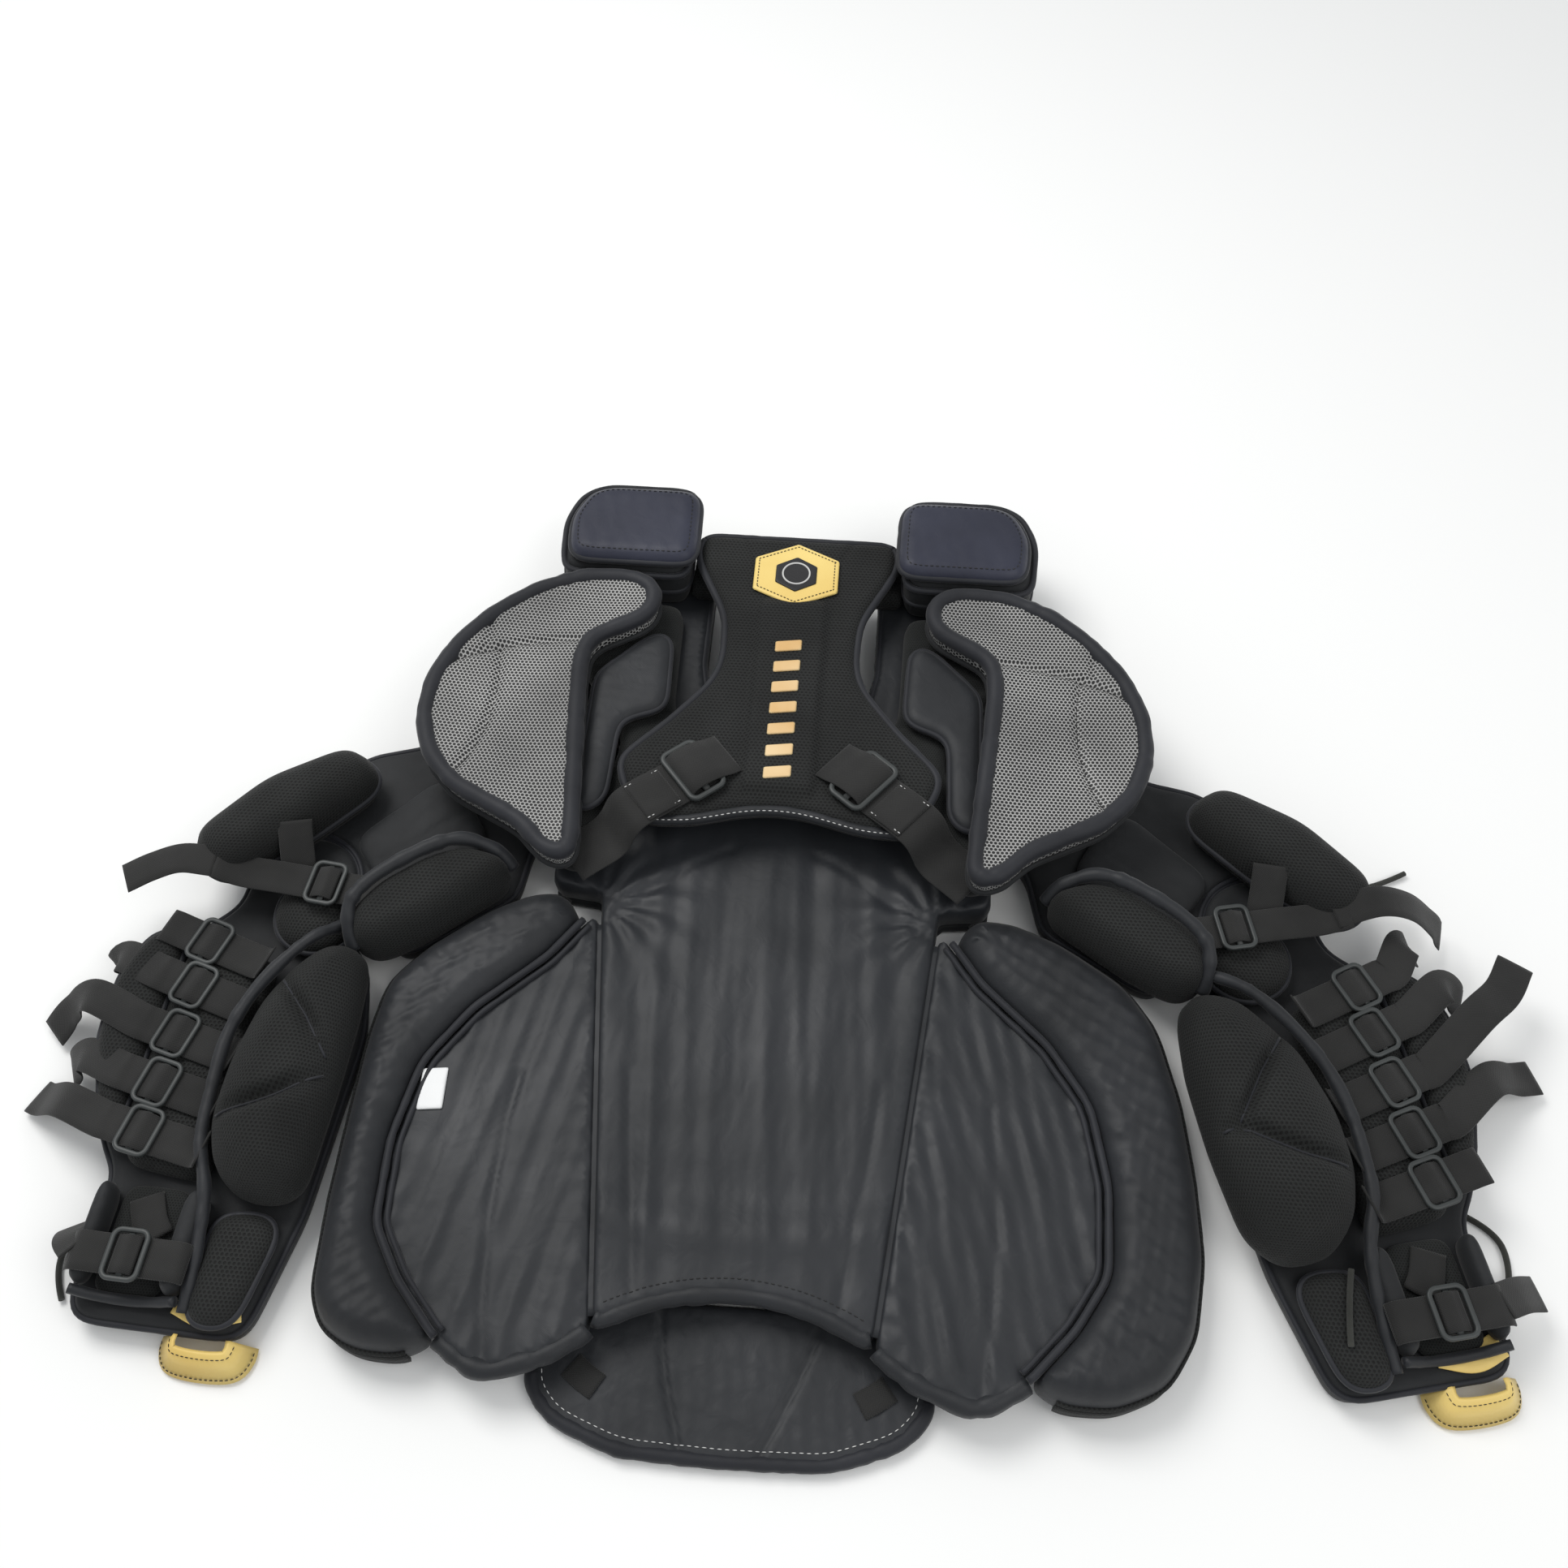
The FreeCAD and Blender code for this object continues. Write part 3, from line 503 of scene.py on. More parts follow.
@dataclass
class Pad:
    """A stuffed piece: crowned top, drawn-in rim, and a relief of folds and seams."""

    name: str
    outline: Points
    low: float
    high: float
    finish: Finish
    body: str
    nodes: Sequence[str] = ()
    rim: float = 14.0
    under: float = 8.0
    waist: float = 0.45
    step: float = 4.5
    soft: float = 7.0
    relief: Relief | None = None
    seams: Sequence[tuple[np.ndarray, float, float]] = ()
    fill: float = 0.7
    stuffed: bool = True
    ring: np.ndarray = field(init=False)

    def __post_init__(self) -> None:
        """Settle the outline's samples."""
        self.ring = rounded_ring(self.outline, self.step, self.soft)

    def rise(self, xy: np.ndarray, d: np.ndarray, s: np.ndarray) -> np.ndarray:
        """Height of the top surface at plan points."""
        t = np.clip(d / self.rim, 0, 1)
        curve = np.sqrt(np.clip(1 - (1 - t) ** 2, 0, 1))
        seat = self.low + (self.high - self.low) * self.waist
        z = seat + (self.high - seat) * curve
        settle = t * t * (3 - 2 * t)
        if self.relief is not None:
            z = z + self.relief(xy[:, 0], xy[:, 1], d, s) * settle
        for line, depth, width in self.seams:
            away, _, _ = line_distance(xy, line, False)
            z = z - depth * np.exp(-(away / width) ** 2) * settle
        return z

    def top(self, x: float, y: float) -> float:
        """Height of the top surface at one place."""
        xy = np.array([[x, y]], float)
        d, s, _ = line_distance(xy, self.ring, True)
        return float(self.rise(xy, d, s)[0])

    def drape(self, line: np.ndarray, lift: float = 0.0) -> np.ndarray:
        """Lay a plan line on the top surface."""
        d, s, _ = line_distance(line[:, :2], self.ring, True)
        return np.column_stack([line[:, :2], self.rise(line[:, :2], d, s) + lift])

    def build(self) -> bpy.types.Object:
        low, high = self.ring.min(0), self.ring.max(0)
        rings = [self.ring]
        tangent = np.roll(self.ring, -1, 0) - np.roll(self.ring, 1, 0)
        inward = np.column_stack([-tangent[:, 1], tangent[:, 0]])
        inward /= np.linalg.norm(inward, axis=1)[:, None]
        for k in (1, 2, 3, 4):
            reach = self.rim * (1 - math.cos(k * math.pi / 10))
            if reach < 0.35:
                continue
            moved = self.ring + inward * reach
            d, _, _ = line_distance(moved, self.ring, True)
            rings.append(moved[(d > reach * 0.93) & inside(moved, self.ring)])
        xs = np.arange(low[0], high[0], self.step)
        ys = np.arange(low[1], high[1], self.step * 0.866)
        grid = np.array([(x + (self.step / 2 if j % 2 else 0), y) for j, y in enumerate(ys) for x in xs])
        grid = grid[inside(grid, self.ring)]
        d, _, _ = line_distance(grid, self.ring, True)
        rings.append(grid[d > max(self.rim * (1 - math.cos(0.42 * math.pi)) + self.step * 0.4, self.step * 0.6)])
        flat = np.vstack(rings)
        count = len(self.ring)
        edges = [(i, (i + 1) % count) for i in range(count)]
        verts, _, faces, _, _, _ = delaunay_2d_cdt([Vector(p) for p in flat], edges, [], 1, 1e-5)
        xy = np.array([tuple(v) for v in verts])
        d, s, n = line_distance(xy, self.ring, True)
        rim = d < 0.02
        z = self.rise(xy, d, s)
        seat = self.low + (self.high - self.low) * self.waist
        z[rim] = seat
        t = np.clip(d / self.under, 0, 1)
        bottom = seat - (seat - self.low) * np.sqrt(np.clip(1 - (1 - t) ** 2, 0, 1))
        bottom = np.minimum(bottom, z - 0.4)
        below = np.full(len(xy), -1)
        below[~rim] = len(xy) + np.arange((~rim).sum())
        below[rim] = np.where(rim)[0]
        points = np.vstack([np.column_stack([xy, z]), np.column_stack([xy[~rim], bottom[~rim]])])
        triangles = []
        for a, b, c in faces:
            if (xy[b][0] - xy[a][0]) * (xy[c][1] - xy[a][1]) - (xy[c][0] - xy[a][0]) * (xy[b][1] - xy[a][1]) < 0:
                b, c = c, b
            triangles.append((a, b, c))
            triangles.append((below[a], below[c], below[b]))
        t = np.clip(d / self.rim, 0, 1)
        drop = (self.high - seat) * (1 - np.sqrt(np.clip(1 - (1 - t) ** 2, 0, 1)))
        uv = (xy + n * drop[:, None]) * MM
        uvs = np.vstack([uv, uv[~rim]])
        piece = make_piece(self.name, points, triangles, uvs, self.finish, self.body, self.nodes)
        return piece


def frames(path: np.ndarray, closed: bool) -> tuple[np.ndarray, np.ndarray]:
    """Tangents of a path and sideways vectors lying flat."""
    if closed:
        tangent = np.roll(path, -1, 0) - np.roll(path, 1, 0)
    else:
        tangent = np.gradient(path, axis=0)
    tangent /= np.linalg.norm(tangent, axis=1)[:, None] + 1e-12
    sideways = np.cross(np.array([0, 0, 1.0]), tangent)
    length = np.linalg.norm(sideways, axis=1)
    good = length > 0.15
    if good.any():
        where = np.where(good)[0]
        for i in np.where(~good)[0]:
            sideways[i] = sideways[where[np.argmin(np.abs(where - i))]]
    sideways /= np.linalg.norm(sideways, axis=1)[:, None] + 1e-12
    return tangent, sideways


def sweep(name: str, path: np.ndarray, section: np.ndarray, finish: Finish, body: str, closed: bool = False,
        nodes: Sequence[str] = (), swell: np.ndarray | None = None) -> bpy.types.Object:
    """Carry a section (across, up) along a path in mm, with capped ends.

    Args:
        name: Piece name.
        path: Path samples in mm.
        section: Section points, anticlockwise, as (across, up) in mm.
        finish: The finish it wears.
        body: CAD body it rides on.
        closed: Whether the path is a ring.
        nodes: CAD nodes that it stands for.
        swell: Scale of the section at each sample.

    Returns:
        The new object.
    """
    tangent, sideways = frames(path, closed)
    up = np.cross(tangent, sideways)
    swell = np.ones(len(path)) if swell is None else swell
    sides = len(section)
    verts = np.concatenate([path[i] + (section[:, :1] * sideways[i] + section[:,
            1:] * up[i]) * swell[i] for i in range(len(path))])
    around = np.concatenate([[0], np.cumsum(np.linalg.norm(np.diff(np.vstack([section, section[:1]]), axis=0),
            axis=1))[:-1]])
    run = np.concatenate([[0], np.cumsum(np.linalg.norm(np.diff(path, axis=0), axis=1))])
    uvs = np.column_stack([np.repeat(run, sides), np.tile(around, len(path))]) * MM
    faces = []
    last = len(path) if closed else len(path) - 1
    for i in range(last):
        j = (i + 1) % len(path)
        for k in range(sides):
            m = (k + 1) % sides
            faces.append((i * sides + k, i * sides + m, j * sides + m, j * sides + k))
    if not closed:
        faces.append(tuple(range(sides))[::-1])
        faces.append(tuple(range((len(path) - 1) * sides, len(path) * sides)))
    return make_piece(name, verts, [f[::-1] for f in faces], uvs, finish, body, nodes)


def round_section(radius: float, sides: int = 10) -> np.ndarray:
    """Round section of a tube."""
    a = np.linspace(0, 2 * math.pi, sides, endpoint=False)
    return np.column_stack([np.cos(a), np.sin(a)]) * radius


def web_section(width: float, thick: float) -> np.ndarray:
    """Flat section of webbing with softened selvedges."""
    w, t = width / 2, thick / 2
    return np.array([(-w, 0), (-w + t * 0.7, -t * 0.8), (-w * 0.5, -t), (w * 0.5, -t), (w - t * 0.7, -t * 0.8),
            (w, 0), (w - t * 0.7, t * 0.8), (w * 0.5, t), (-w * 0.5, t), (-w + t * 0.7, t * 0.8)])


def piping(name: str, path: np.ndarray, radius: float, body: str, finish: Finish = PIPING, closed: bool = False,
        ripple: float = 0.04, seed: int = 1) -> bpy.types.Object:
    """A bound or rolled edge whose thickness wavers a little."""
    rng = np.random.default_rng(seed)
    wobble = np.interp(np.arange(len(path)), np.arange(0, len(path) + 3, 2), rng.normal(0, ripple, len(path) // 2 + 2))
    if closed:
        blend = min(6, len(path) // 4)
        wobble[-blend:] = np.linspace(wobble[-blend], wobble[0], blend)
    return sweep(name, path, round_section(radius), finish, body, closed, swell=1 + np.clip(wobble, -0.12, 0.12))


def webbing(name: str, path: np.ndarray, width: float, body: str, thick: float = 1.6, nodes: Sequence[str] = (),
        finish: Finish = WEBBING) -> bpy.types.Object:
    """Flat webbing along a path through its middle."""
    return sweep(name, path, web_section(width, thick), finish, body, nodes=nodes)


def stitches(name: str, path: np.ndarray, body: str, finish: Finish = WHITE_THREAD, pitch: float = 4.2,
        length: float = 2.6, radius: float = 0.38) -> bpy.types.Object:
    """A row of short threads along a path, each a slim spindle lying on the cloth."""
    places = even_steps(path, pitch)
    tangent, sideways = frames(places, False)
    up = np.cross(tangent, sideways)
    verts, faces, uvs = [], [], []
    for p, t, a, u in zip(places, tangent, sideways, up):
        base = len(verts)
        for along, size in ((-0.5, 0.3), (-0.2, 1.0), (0.2, 1.0), (0.5, 0.3)):
            for k in range(6):
                turn = k * math.pi / 3
                verts.append(p + t * along * length + (a * math.cos(turn) + u * math.sin(turn)) * radius * size)
                uvs.append((along * length * MM, k * radius * MM))
        for ring in range(3):
            for k in range(6):
                m = (k + 1) % 6
                o = base + ring * 6
                faces.append((o + k, o + 6 + k, o + 6 + m, o + m))
        faces.append(tuple(base + k for k in range(6)))
        faces.append(tuple(base + 18 + k for k in range(6))[::-1])
    return make_piece(name, np.array(verts), [f[::-1] for f in faces], np.array(uvs), finish, body)


def slide_frame(name: str, centre: tuple[float, float, float], along: np.ndarray, half: tuple[float, float],
        body: str, nodes: Sequence[str] = (), thick: float = 1.6) -> bpy.types.Object:
    """Moulded three-bar slide: rounded outer frame and a middle bar, in one piece.

    Args:
        name: Piece name.
        centre: Middle of the frame in mm.
        along: Unit vector in plan along the webbing.
        half: Half length along the webbing and half width across it, in mm.
        body: CAD body it rides on.
        nodes: CAD nodes that it stands for.
        thick: Half thickness of the bars in mm.

    Returns:
        The new object.
    """
    a, b = half
    across = np.array([-along[1], along[0]])
    ring = rounded_ring([(-a, -b, 5), (a, -b, 5), (a, b, 5), (-a, b, 5)], 1.2)
    outer = at_height(np.array(centre[:2]) + ring[:, :1] * along[:2] + ring[:, 1:] * across, centre[2])
    turn = np.linspace(0, 2 * math.pi, 12, endpoint=False)
    section = np.column_stack([np.sign(np.cos(turn)) * np.abs(np.cos(turn)) ** 0.6,
            np.sign(np.sin(turn)) * np.abs(np.sin(turn)) ** 0.6]) * thick
    frame_ring = sweep(name, outer, section, PLASTIC, body, closed=True, nodes=nodes)
    rows = np.linspace(-b, b, 5)
    bar = at_height(np.array(centre[:2]) + rows[:, None] * across, centre[2] - thick * 0.5)
    sweep(name + "_bar", bar, section * np.array([1.3, 0.6]), PLASTIC, body)
    return frame_ring


def mirrored(points: Points, s: int) -> list[tuple[float, ...]]:
    """Body points on the right (s=1) or mirrored to the left (s=-1)."""
    return [(s * p[0],) + tuple(p[1:]) for p in points]


def whole(points: Points) -> list[tuple[float, ...]]:
    """Right half from the bottom centre upwards, closed with its mirror."""
    return list(points) + [(-p[0],) + tuple(p[1:]) for p in reversed(points) if abs(p[0]) > 0.01]


def stretch(ring: np.ndarray, start: tuple[float, float], end: tuple[float, float]) -> np.ndarray:
    """Part of a ring from the sample nearest start, anticlockwise to the one nearest end."""
    i = int(np.argmin(np.linalg.norm(ring - np.array(start), axis=1)))
    j = int(np.argmin(np.linalg.norm(ring - np.array(end), axis=1)))
    return ring[i:j + 1] if j >= i else np.vstack([ring[i:], ring[:j + 1]])


def shrunk(ring: np.ndarray, by: float) -> np.ndarray:
    """Ring moved inward by a distance in mm."""
    tangent = np.roll(ring, -1, 0) - np.roll(ring, 1, 0)
    inward = np.column_stack([-tangent[:, 1], tangent[:, 0]])
    return ring + inward / np.linalg.norm(inward, axis=1)[:, None] * by


def at_height(line: np.ndarray, z: float) -> np.ndarray:
    """Plan line lifted to one height."""
    return np.column_stack([line, np.full(len(line), z)])


# ------------------------------------------------------------------ torso


BITE = [(185 + 62 * math.cos(math.radians(a)), 290 + 62 * math.sin(math.radians(a))) for a in range(244, 104, -10)]
SHOULDER = [(120.8, 172, 6), (157, 176, 10)] + BITE + [(167, 360), (167, 425, 8)]
NECK_SIDE = [(181, 430, 8), (181, 477, 18), (67, 477, 8), (67, 380, 20), (57, 326, 30), (0, 289, 60)]
ARCH = [(0, -84, 160), (86, -127, 6)]
FRONT_EDGE = [(0, -102), (88, -102, 6)]


@dataclass
class Torso:
    """Chest, neck surround and spine pad, all on the root body."""

    body: str = "torso"
    liner_top: float = 34.0
    riser_top: float = 52.0

    def build(self) -> None:
        """Make every piece of the torso in turn."""
        self.chest()
        self.shoulders()
        self.collars()
        self.spine()
        self.badge()
        self.harness()
        LOG.info("torso dressed")

    def liner_relief(self, x: np.ndarray, y: np.ndarray, d: np.ndarray, s: np.ndarray) -> np.ndarray:
        """Long folds down the back, with gathers fanning from the top corners of the hinge lines."""
        z = 2.3 * creases(x, y, math.pi / 2, 46, 11, 0.12) * np.clip((d - 6) / 20, 0, 1)
        z += 0.5 * creases(x, y, math.pi / 2, 19, 12, 0.12)
        for s_x in (-1, 1):
            dx, dy = x - s_x * 118, y - 162
            r = np.hypot(dx, dy)
            turn = np.arctan2(dy, dx * s_x)
            z += 2.4 * np.exp(-r / 48) * np.sin(13 * turn + 1.3 * np.sin(r / 17)) * np.clip(r / 12, 0, 1)
        z += 3.0 * np.exp(-((y + 66 - 0.0012 * x * x) / 16) ** 2) - 1.5 * np.exp(-((y + 40 - 0.001 * x * x) / 18) ** 2)
        z -= 2.0 * np.exp(-((np.abs(x) - 32) / 9) ** 2) * np.clip((y - 60) / 90, 0, 1)
        return z

    def chest(self) -> None:
        """Front cover, quilted liner with its seams, and the bound arch."""
        Pad("chest_cover", whole(FRONT_EDGE + SHOULDER + NECK_SIDE), 0, 10.2, SHELL, self.body, ["chest_front_cover"],
                rim=4, under=4, waist=0.6, step=7.0, soft=0.0, relief=lambda x, y, d,
                s: 0.2 * creases(x, y, 0.4, 40, 5)).build()
        seams = []
        for s in (-1, 1):
            seams.append((flowing([(s * 64, -106), (s * 70, -60), (s * 78, -10), (s * 84, 40)]), 1.6, 2.6))
            seams.append((flowing([(s * 112, 150), (s * 60, 196), (s * 30, 214)]), 1.2, 3.0))
        liner = Pad("body_lining", whole(ARCH + SHOULDER + NECK_SIDE), 10.2, self.liner_top, LINER, self.body,
                ["chest_foam_core", "body_liner"], rim=4, under=3, waist=0.6, step=3.6, soft=0.0,
                relief=self.liner_relief, seams=seams, fill=0.5)
        liner.build()
        arch = stretch(shrunk(liner.ring, 1.0), (-86, -126), (86, -126))
        piping("arch_binding", at_height(arch, 28.5), 6.0, self.body, SLATE, ripple=0.07, seed=3)
        stitches("arch_topstitch", liner.drape(stretch(shrunk(liner.ring, 9.5), (-80, -112), (80, -112)), 0.3),
                self.body, DARK_THREAD)
        neck = stretch(shrunk(liner.ring, 1.5), (67, 470), (-67, 470))
        piping("neck_binding", at_height(neck, 30.0), 3.2, self.body, PIPING, seed=4)

    def shoulders(self) -> None:
        """Quilted risers, mesh strips by the neck, and the clavicle pads."""
        riser = [(73, 239, 6), (104, 233, 10), (132, 182, 8), (155, 185, 8), (160, 222)] + \
            [(p[0] - 1.5, p[1]) for p in BITE[1:-1]] + [(162, 362), (162, 425, 8), (87, 425, 8), (85, 330, 14), (73,
                                                                                                                 296,
                                                                                                                 8)]
        clavicle = [(123, 232, 7), (146, 214, 7), (146, 344, 14), (106, 386, 14), (91, 386, 10), (88, 314, 10),
                (122, 303, 12)]
        for side, s in (("left", -1), ("right", 1)):
            quilt = [(flowing([(s * 84, y), (s * 162, y + 6)]), 2.0, 3.0) for y in (318, 352, 388)]
            Pad(side + "_quilted_riser", mirrored(riser, s), self.liner_top, self.riser_top, FINE_MESH, self.body,
                    ["shoulder_risers"] if s > 0 else (), rim=7, under=3, step=4.0, seams=quilt, relief=lambda x, y,
                    d, t: 0.5 * creases(x, y, 0.2, 16, 21)).build()
            pad = Pad(side + "_clavicle_cushion", mirrored(clavicle, s), self.riser_top, 65.0, SLATE, self.body,
                    ["clavicle_pads"] if s > 0 else (), rim=9, under=4, step=3.2, relief=lambda x, y, d,
                    t: 0.9 * creases(x, y, 0.3, 18, 23, 0.4) * np.exp(-d / 14))
            pad.build()
            piping(side + "_clavicle_piping", at_height(shrunk(pad.ring, 0.8), 59.5), 2.3, self.body, closed=True)

    def collars(self) -> None:
        """Collar pads with their satin linings, and the yoke that joins them."""
        collar = [(84, 434, 8), (184, 434, 10), (188, 486, 18), (178, 516, 18), (160, 526, 16), (84, 526, 12)]
        lining = [(78, 438, 10), (178, 438, 12), (181, 480, 18), (170, 506, 16), (155, 513, 14), (80, 513, 12)]
        for side, s in (("left", -1), ("right", 1)):
            outer = Pad(side + "_collar_cushion", mirrored(collar, s), self.liner_top, 76.0, SHELL, self.body,
                    [side + "_collar_pad"], rim=8, under=5, step=3.6, relief=lambda x, y, d,
                    t: 0.6 * creases(x, y, 1.2, 18, 31))
            outer.build()
            piping(side + "_collar_piping", at_height(shrunk(outer.ring, 0.6), 70.0), 2.6, self.body, closed=True)
            piping(side + "_collar_fold", at_height(shrunk(outer.ring, 0.4), 52.0), 2.0, self.body, closed=True, seed=9)
            pad = Pad(side + "_collar_satin", mirrored(lining, s), 76.0, 90.0, NAVY, self.body,
                    ["collar_linings"] if s > 0 else (), rim=12, under=4, waist=0.3, step=3.2, relief=lambda x, y, d,
                    t: 1.1 * creases(x, y, 1.4, 20, 33, 0.5) * np.exp(-d / 20))
            pad.build()
            piping(side + "_satin_binding", at_height(shrunk(pad.ring, 0.8), 80.5), 2.8, self.body, closed=True, seed=7)
            stitches(side + "_satin_topstitch", pad.drape(shrunk(pad.ring, 6.5), 0.2), self.body, DARK_THREAD)
        Pad("neck_yoke_cushion", whole([(0, 441), (83.6, 441), (83.6, 480, 4), (0, 480)]), self.liner_top, 51.6,
                AIR_MESH, self.body, ["neck_yoke"], rim=5, under=3, step=5, soft=0.0).build()

    def spine(self) -> None:
        """Hourglass mesh pad with its raised middle, piping, bottom binding and plain bars."""
        outline = [(0, 232, 120), (60, 215, 20), (98, 213, 12), (119, 262, 16), (84, 300, 24), (50, 345, 60),
                (52, 400, 60), (79, 455, 30), (79, 482, 8)]
        lines = [(flowing([(s * 26, 236), (s * 27, 330), (s * 27, 408), (s * 20, 424), (s * 44, 480)]), 1.4,
                2.2) for s in (-1, 1)]
        pad = Pad("spine_cushion", whole(outline), self.riser_top, 72.0, AIR_MESH, self.body, ["spine_pad"], rim=8,
                under=5, step=3.2, seams=lines, relief=lambda x, y, d, t: 4.6 * np.clip((29 - np.abs(x)) / 6, 0,
                1) * np.clip((y - 236) / 8, 0, 1) * np.clip((424 - y) / 16, 0, 1) + 0.4 * creases(x, y, 1.3, 30, 41))
        pad.build()
        self.spine_pad = pad
        side = [stretch(pad.ring, (98, 213), (79, 482)), stretch(pad.ring, (-79, 482), (-98, 213))]
        for i, line in enumerate(side):
            line = shrunk(pad.ring, 0.6)[[int(np.argmin(np.linalg.norm(pad.ring - p, axis=1))) for p in line]]
            piping("spine_piping_%d" % i, at_height(line, 67.0), 3.0, self.body, seed=5 + i)
        top = shrunk(pad.ring, 0.6)
        piping("spine_top_piping", at_height(stretch(top, (79, 480), (-79, 480)), 67.5), 2.4, self.body, seed=13)
        hem = stretch(top, (-98, 214), (98, 214))
        piping("spine_hem", at_height(hem, 66.0), 4.2, self.body, SLATE, ripple=0.05, seed=8)
        stitches("spine_hem_stitch", at_height(stretch(shrunk(pad.ring, -1.6), (-96, 212), (96, 212)), 69.6), self.body)
        for k in range(7):
            y = 252 + k * 19.0
            bar = [(-11, y - 4.6, 1.2), (9, y - 1.6, 1.2), (9, y + 8.4, 1.2), (-11, y + 5.4, 1.2)]
            centre = pad.top(-1, y)
            Pad("spine_bar_%d" % k, bar, centre - 0.3, centre + 1.5, AMBER, self.body, stuffed=False, rim=1.6,
                    under=1, step=1.2, soft=0.0, fill=0.9).build()

    def badge(self) -> None:
        """Plain stitched hexagon with a dark middle and a thin ring."""
        z = 72.8
        hexagon = [(33, 456, 1.5), (0, 471.5, 1.5), (-33, 456, 1.5), (-33, 424, 1.5), (0, 408.5, 1.5), (33, 424, 1.5)]
        base = Pad("badge_patch", hexagon, z, z + 2.6, GOLD, self.body, ["spine_badge"], stuffed=False, rim=2.2,
                under=1.5, step=1.8, soft=0.0, fill=0.9)
        base.build()
        stitches("badge_stitch", at_height(shrunk(base.ring, 3.4), z + 2.9), self.body, DARK_THREAD, pitch=3.0,
                length=2.0)
        inner = [(16, 448, 1), (0, 457, 1), (-16, 448, 1), (-16, 431, 1), (0, 422, 1), (16, 431, 1)]
        Pad("badge_middle", inner, z + 2.4, z + 3.6, BLACK_HIDE, self.body, stuffed=False, rim=1.2, under=1, step=1.5,
                soft=0.0, fill=0.9).build()
        turn = np.linspace(0, 2 * math.pi, 40, endpoint=False)
        ring = np.column_stack([10.5 * np.cos(turn), 439.7 + 10.5 * np.sin(turn), np.full(40, z + 3.8)])
        piping("badge_ring", ring, 0.7, self.body, WHITE_THREAD, closed=True, ripple=0.0)

    def harness(self) -> None:
        """Wide webbing on each side: sewn tab, folded loop, slide and the run to the shoulder."""
        for side, s in (("left", -1), ("right", 1)):
            along = np.array([0.772 * s, -0.636, 0])
            start = np.array([61.0 * s, 251, 0])
            top = self.spine_pad.top(start[0], start[1]) + 1.4

            def at(run: float, z: float) -> np.ndarray:
                return start + along * run + np.array([0, 0, z])

            path = flowing([at(-13, top), at(10, top), at(38, 75.2), at(52, 74.6), at(60, 70), at(68, 58),
                    at(76, 53.4), at(88, 53), at(100, 52.8), at(106, 52.2)], 2.5)
            webbing(side + "_harness_web", path, 38, self.body, nodes=["harness_straps"] if s > 0 else ())
            loop = flowing([at(-30, top - 0.4), at(-22, top + 2), at(-12, top + 6.5), at(0, top + 8.6),
                    at(8, top + 7.6), at(12, top + 4.2)], 2.0)
            webbing(side + "_harness_loop", loop, 37, self.body)
            slide_frame(side + "_harness_slide", (start[0], start[1], top + 3.4), along, (13.5, 22.0), self.body,
                    ["harness_slides"] if s > 0 else (), 2.0)
            patch = flowing([at(20, top + 1.2), at(34, 76.9), at(48, 76.4)], 2.5)
            webbing(side + "_harness_patch", patch, 36, self.body)
            across = np.array([-along[1], along[0], 0])
            for k in (-15.5, 15.5):
                line = np.array([at(22, top + 2.4) + across * k, at(47, 77.5) + across * k])
                stitches("%s_patch_stitch_%d" % (side, k > 0), line, self.body, pitch=3.6, length=2.2)


# ------------------------------------------------------------------ sides, flap and caps


ROLL_INNER = [(180, -141), (208, -110, 24), (229, -76, 30), (231, -20, 60), (221, 34, 50), (194, 75, 40),
        (150, 117, 40), (130, 146)]
ROLL_OUTER = {"left": [(199, -153, 12), (228, -152, 16), (251, -141, 18), (262, -118, 20), (264.5, -60, 60),
        (264, 0, 80), (263, 54, 60), (258, 93, 30), (235, 121, 40), (196, 153, 30), (168, 168, 12), (143, 170, 8)],
        "right": [(199, -153, 12), (232, -153, 16), (263, -139, 20), (282, -108, 24), (290, -60, 60), (288, -10, 80),
        (282, 42, 60), (269, 95, 40), (249, 125, 40), (206, 154, 30), (172, 168, 12), (143, 170, 8)]}


TAPE_HALF, TAPE_TOP, TAPE_THICK, TAPE_BEND = 7.0, 30.2, 1.2, 6


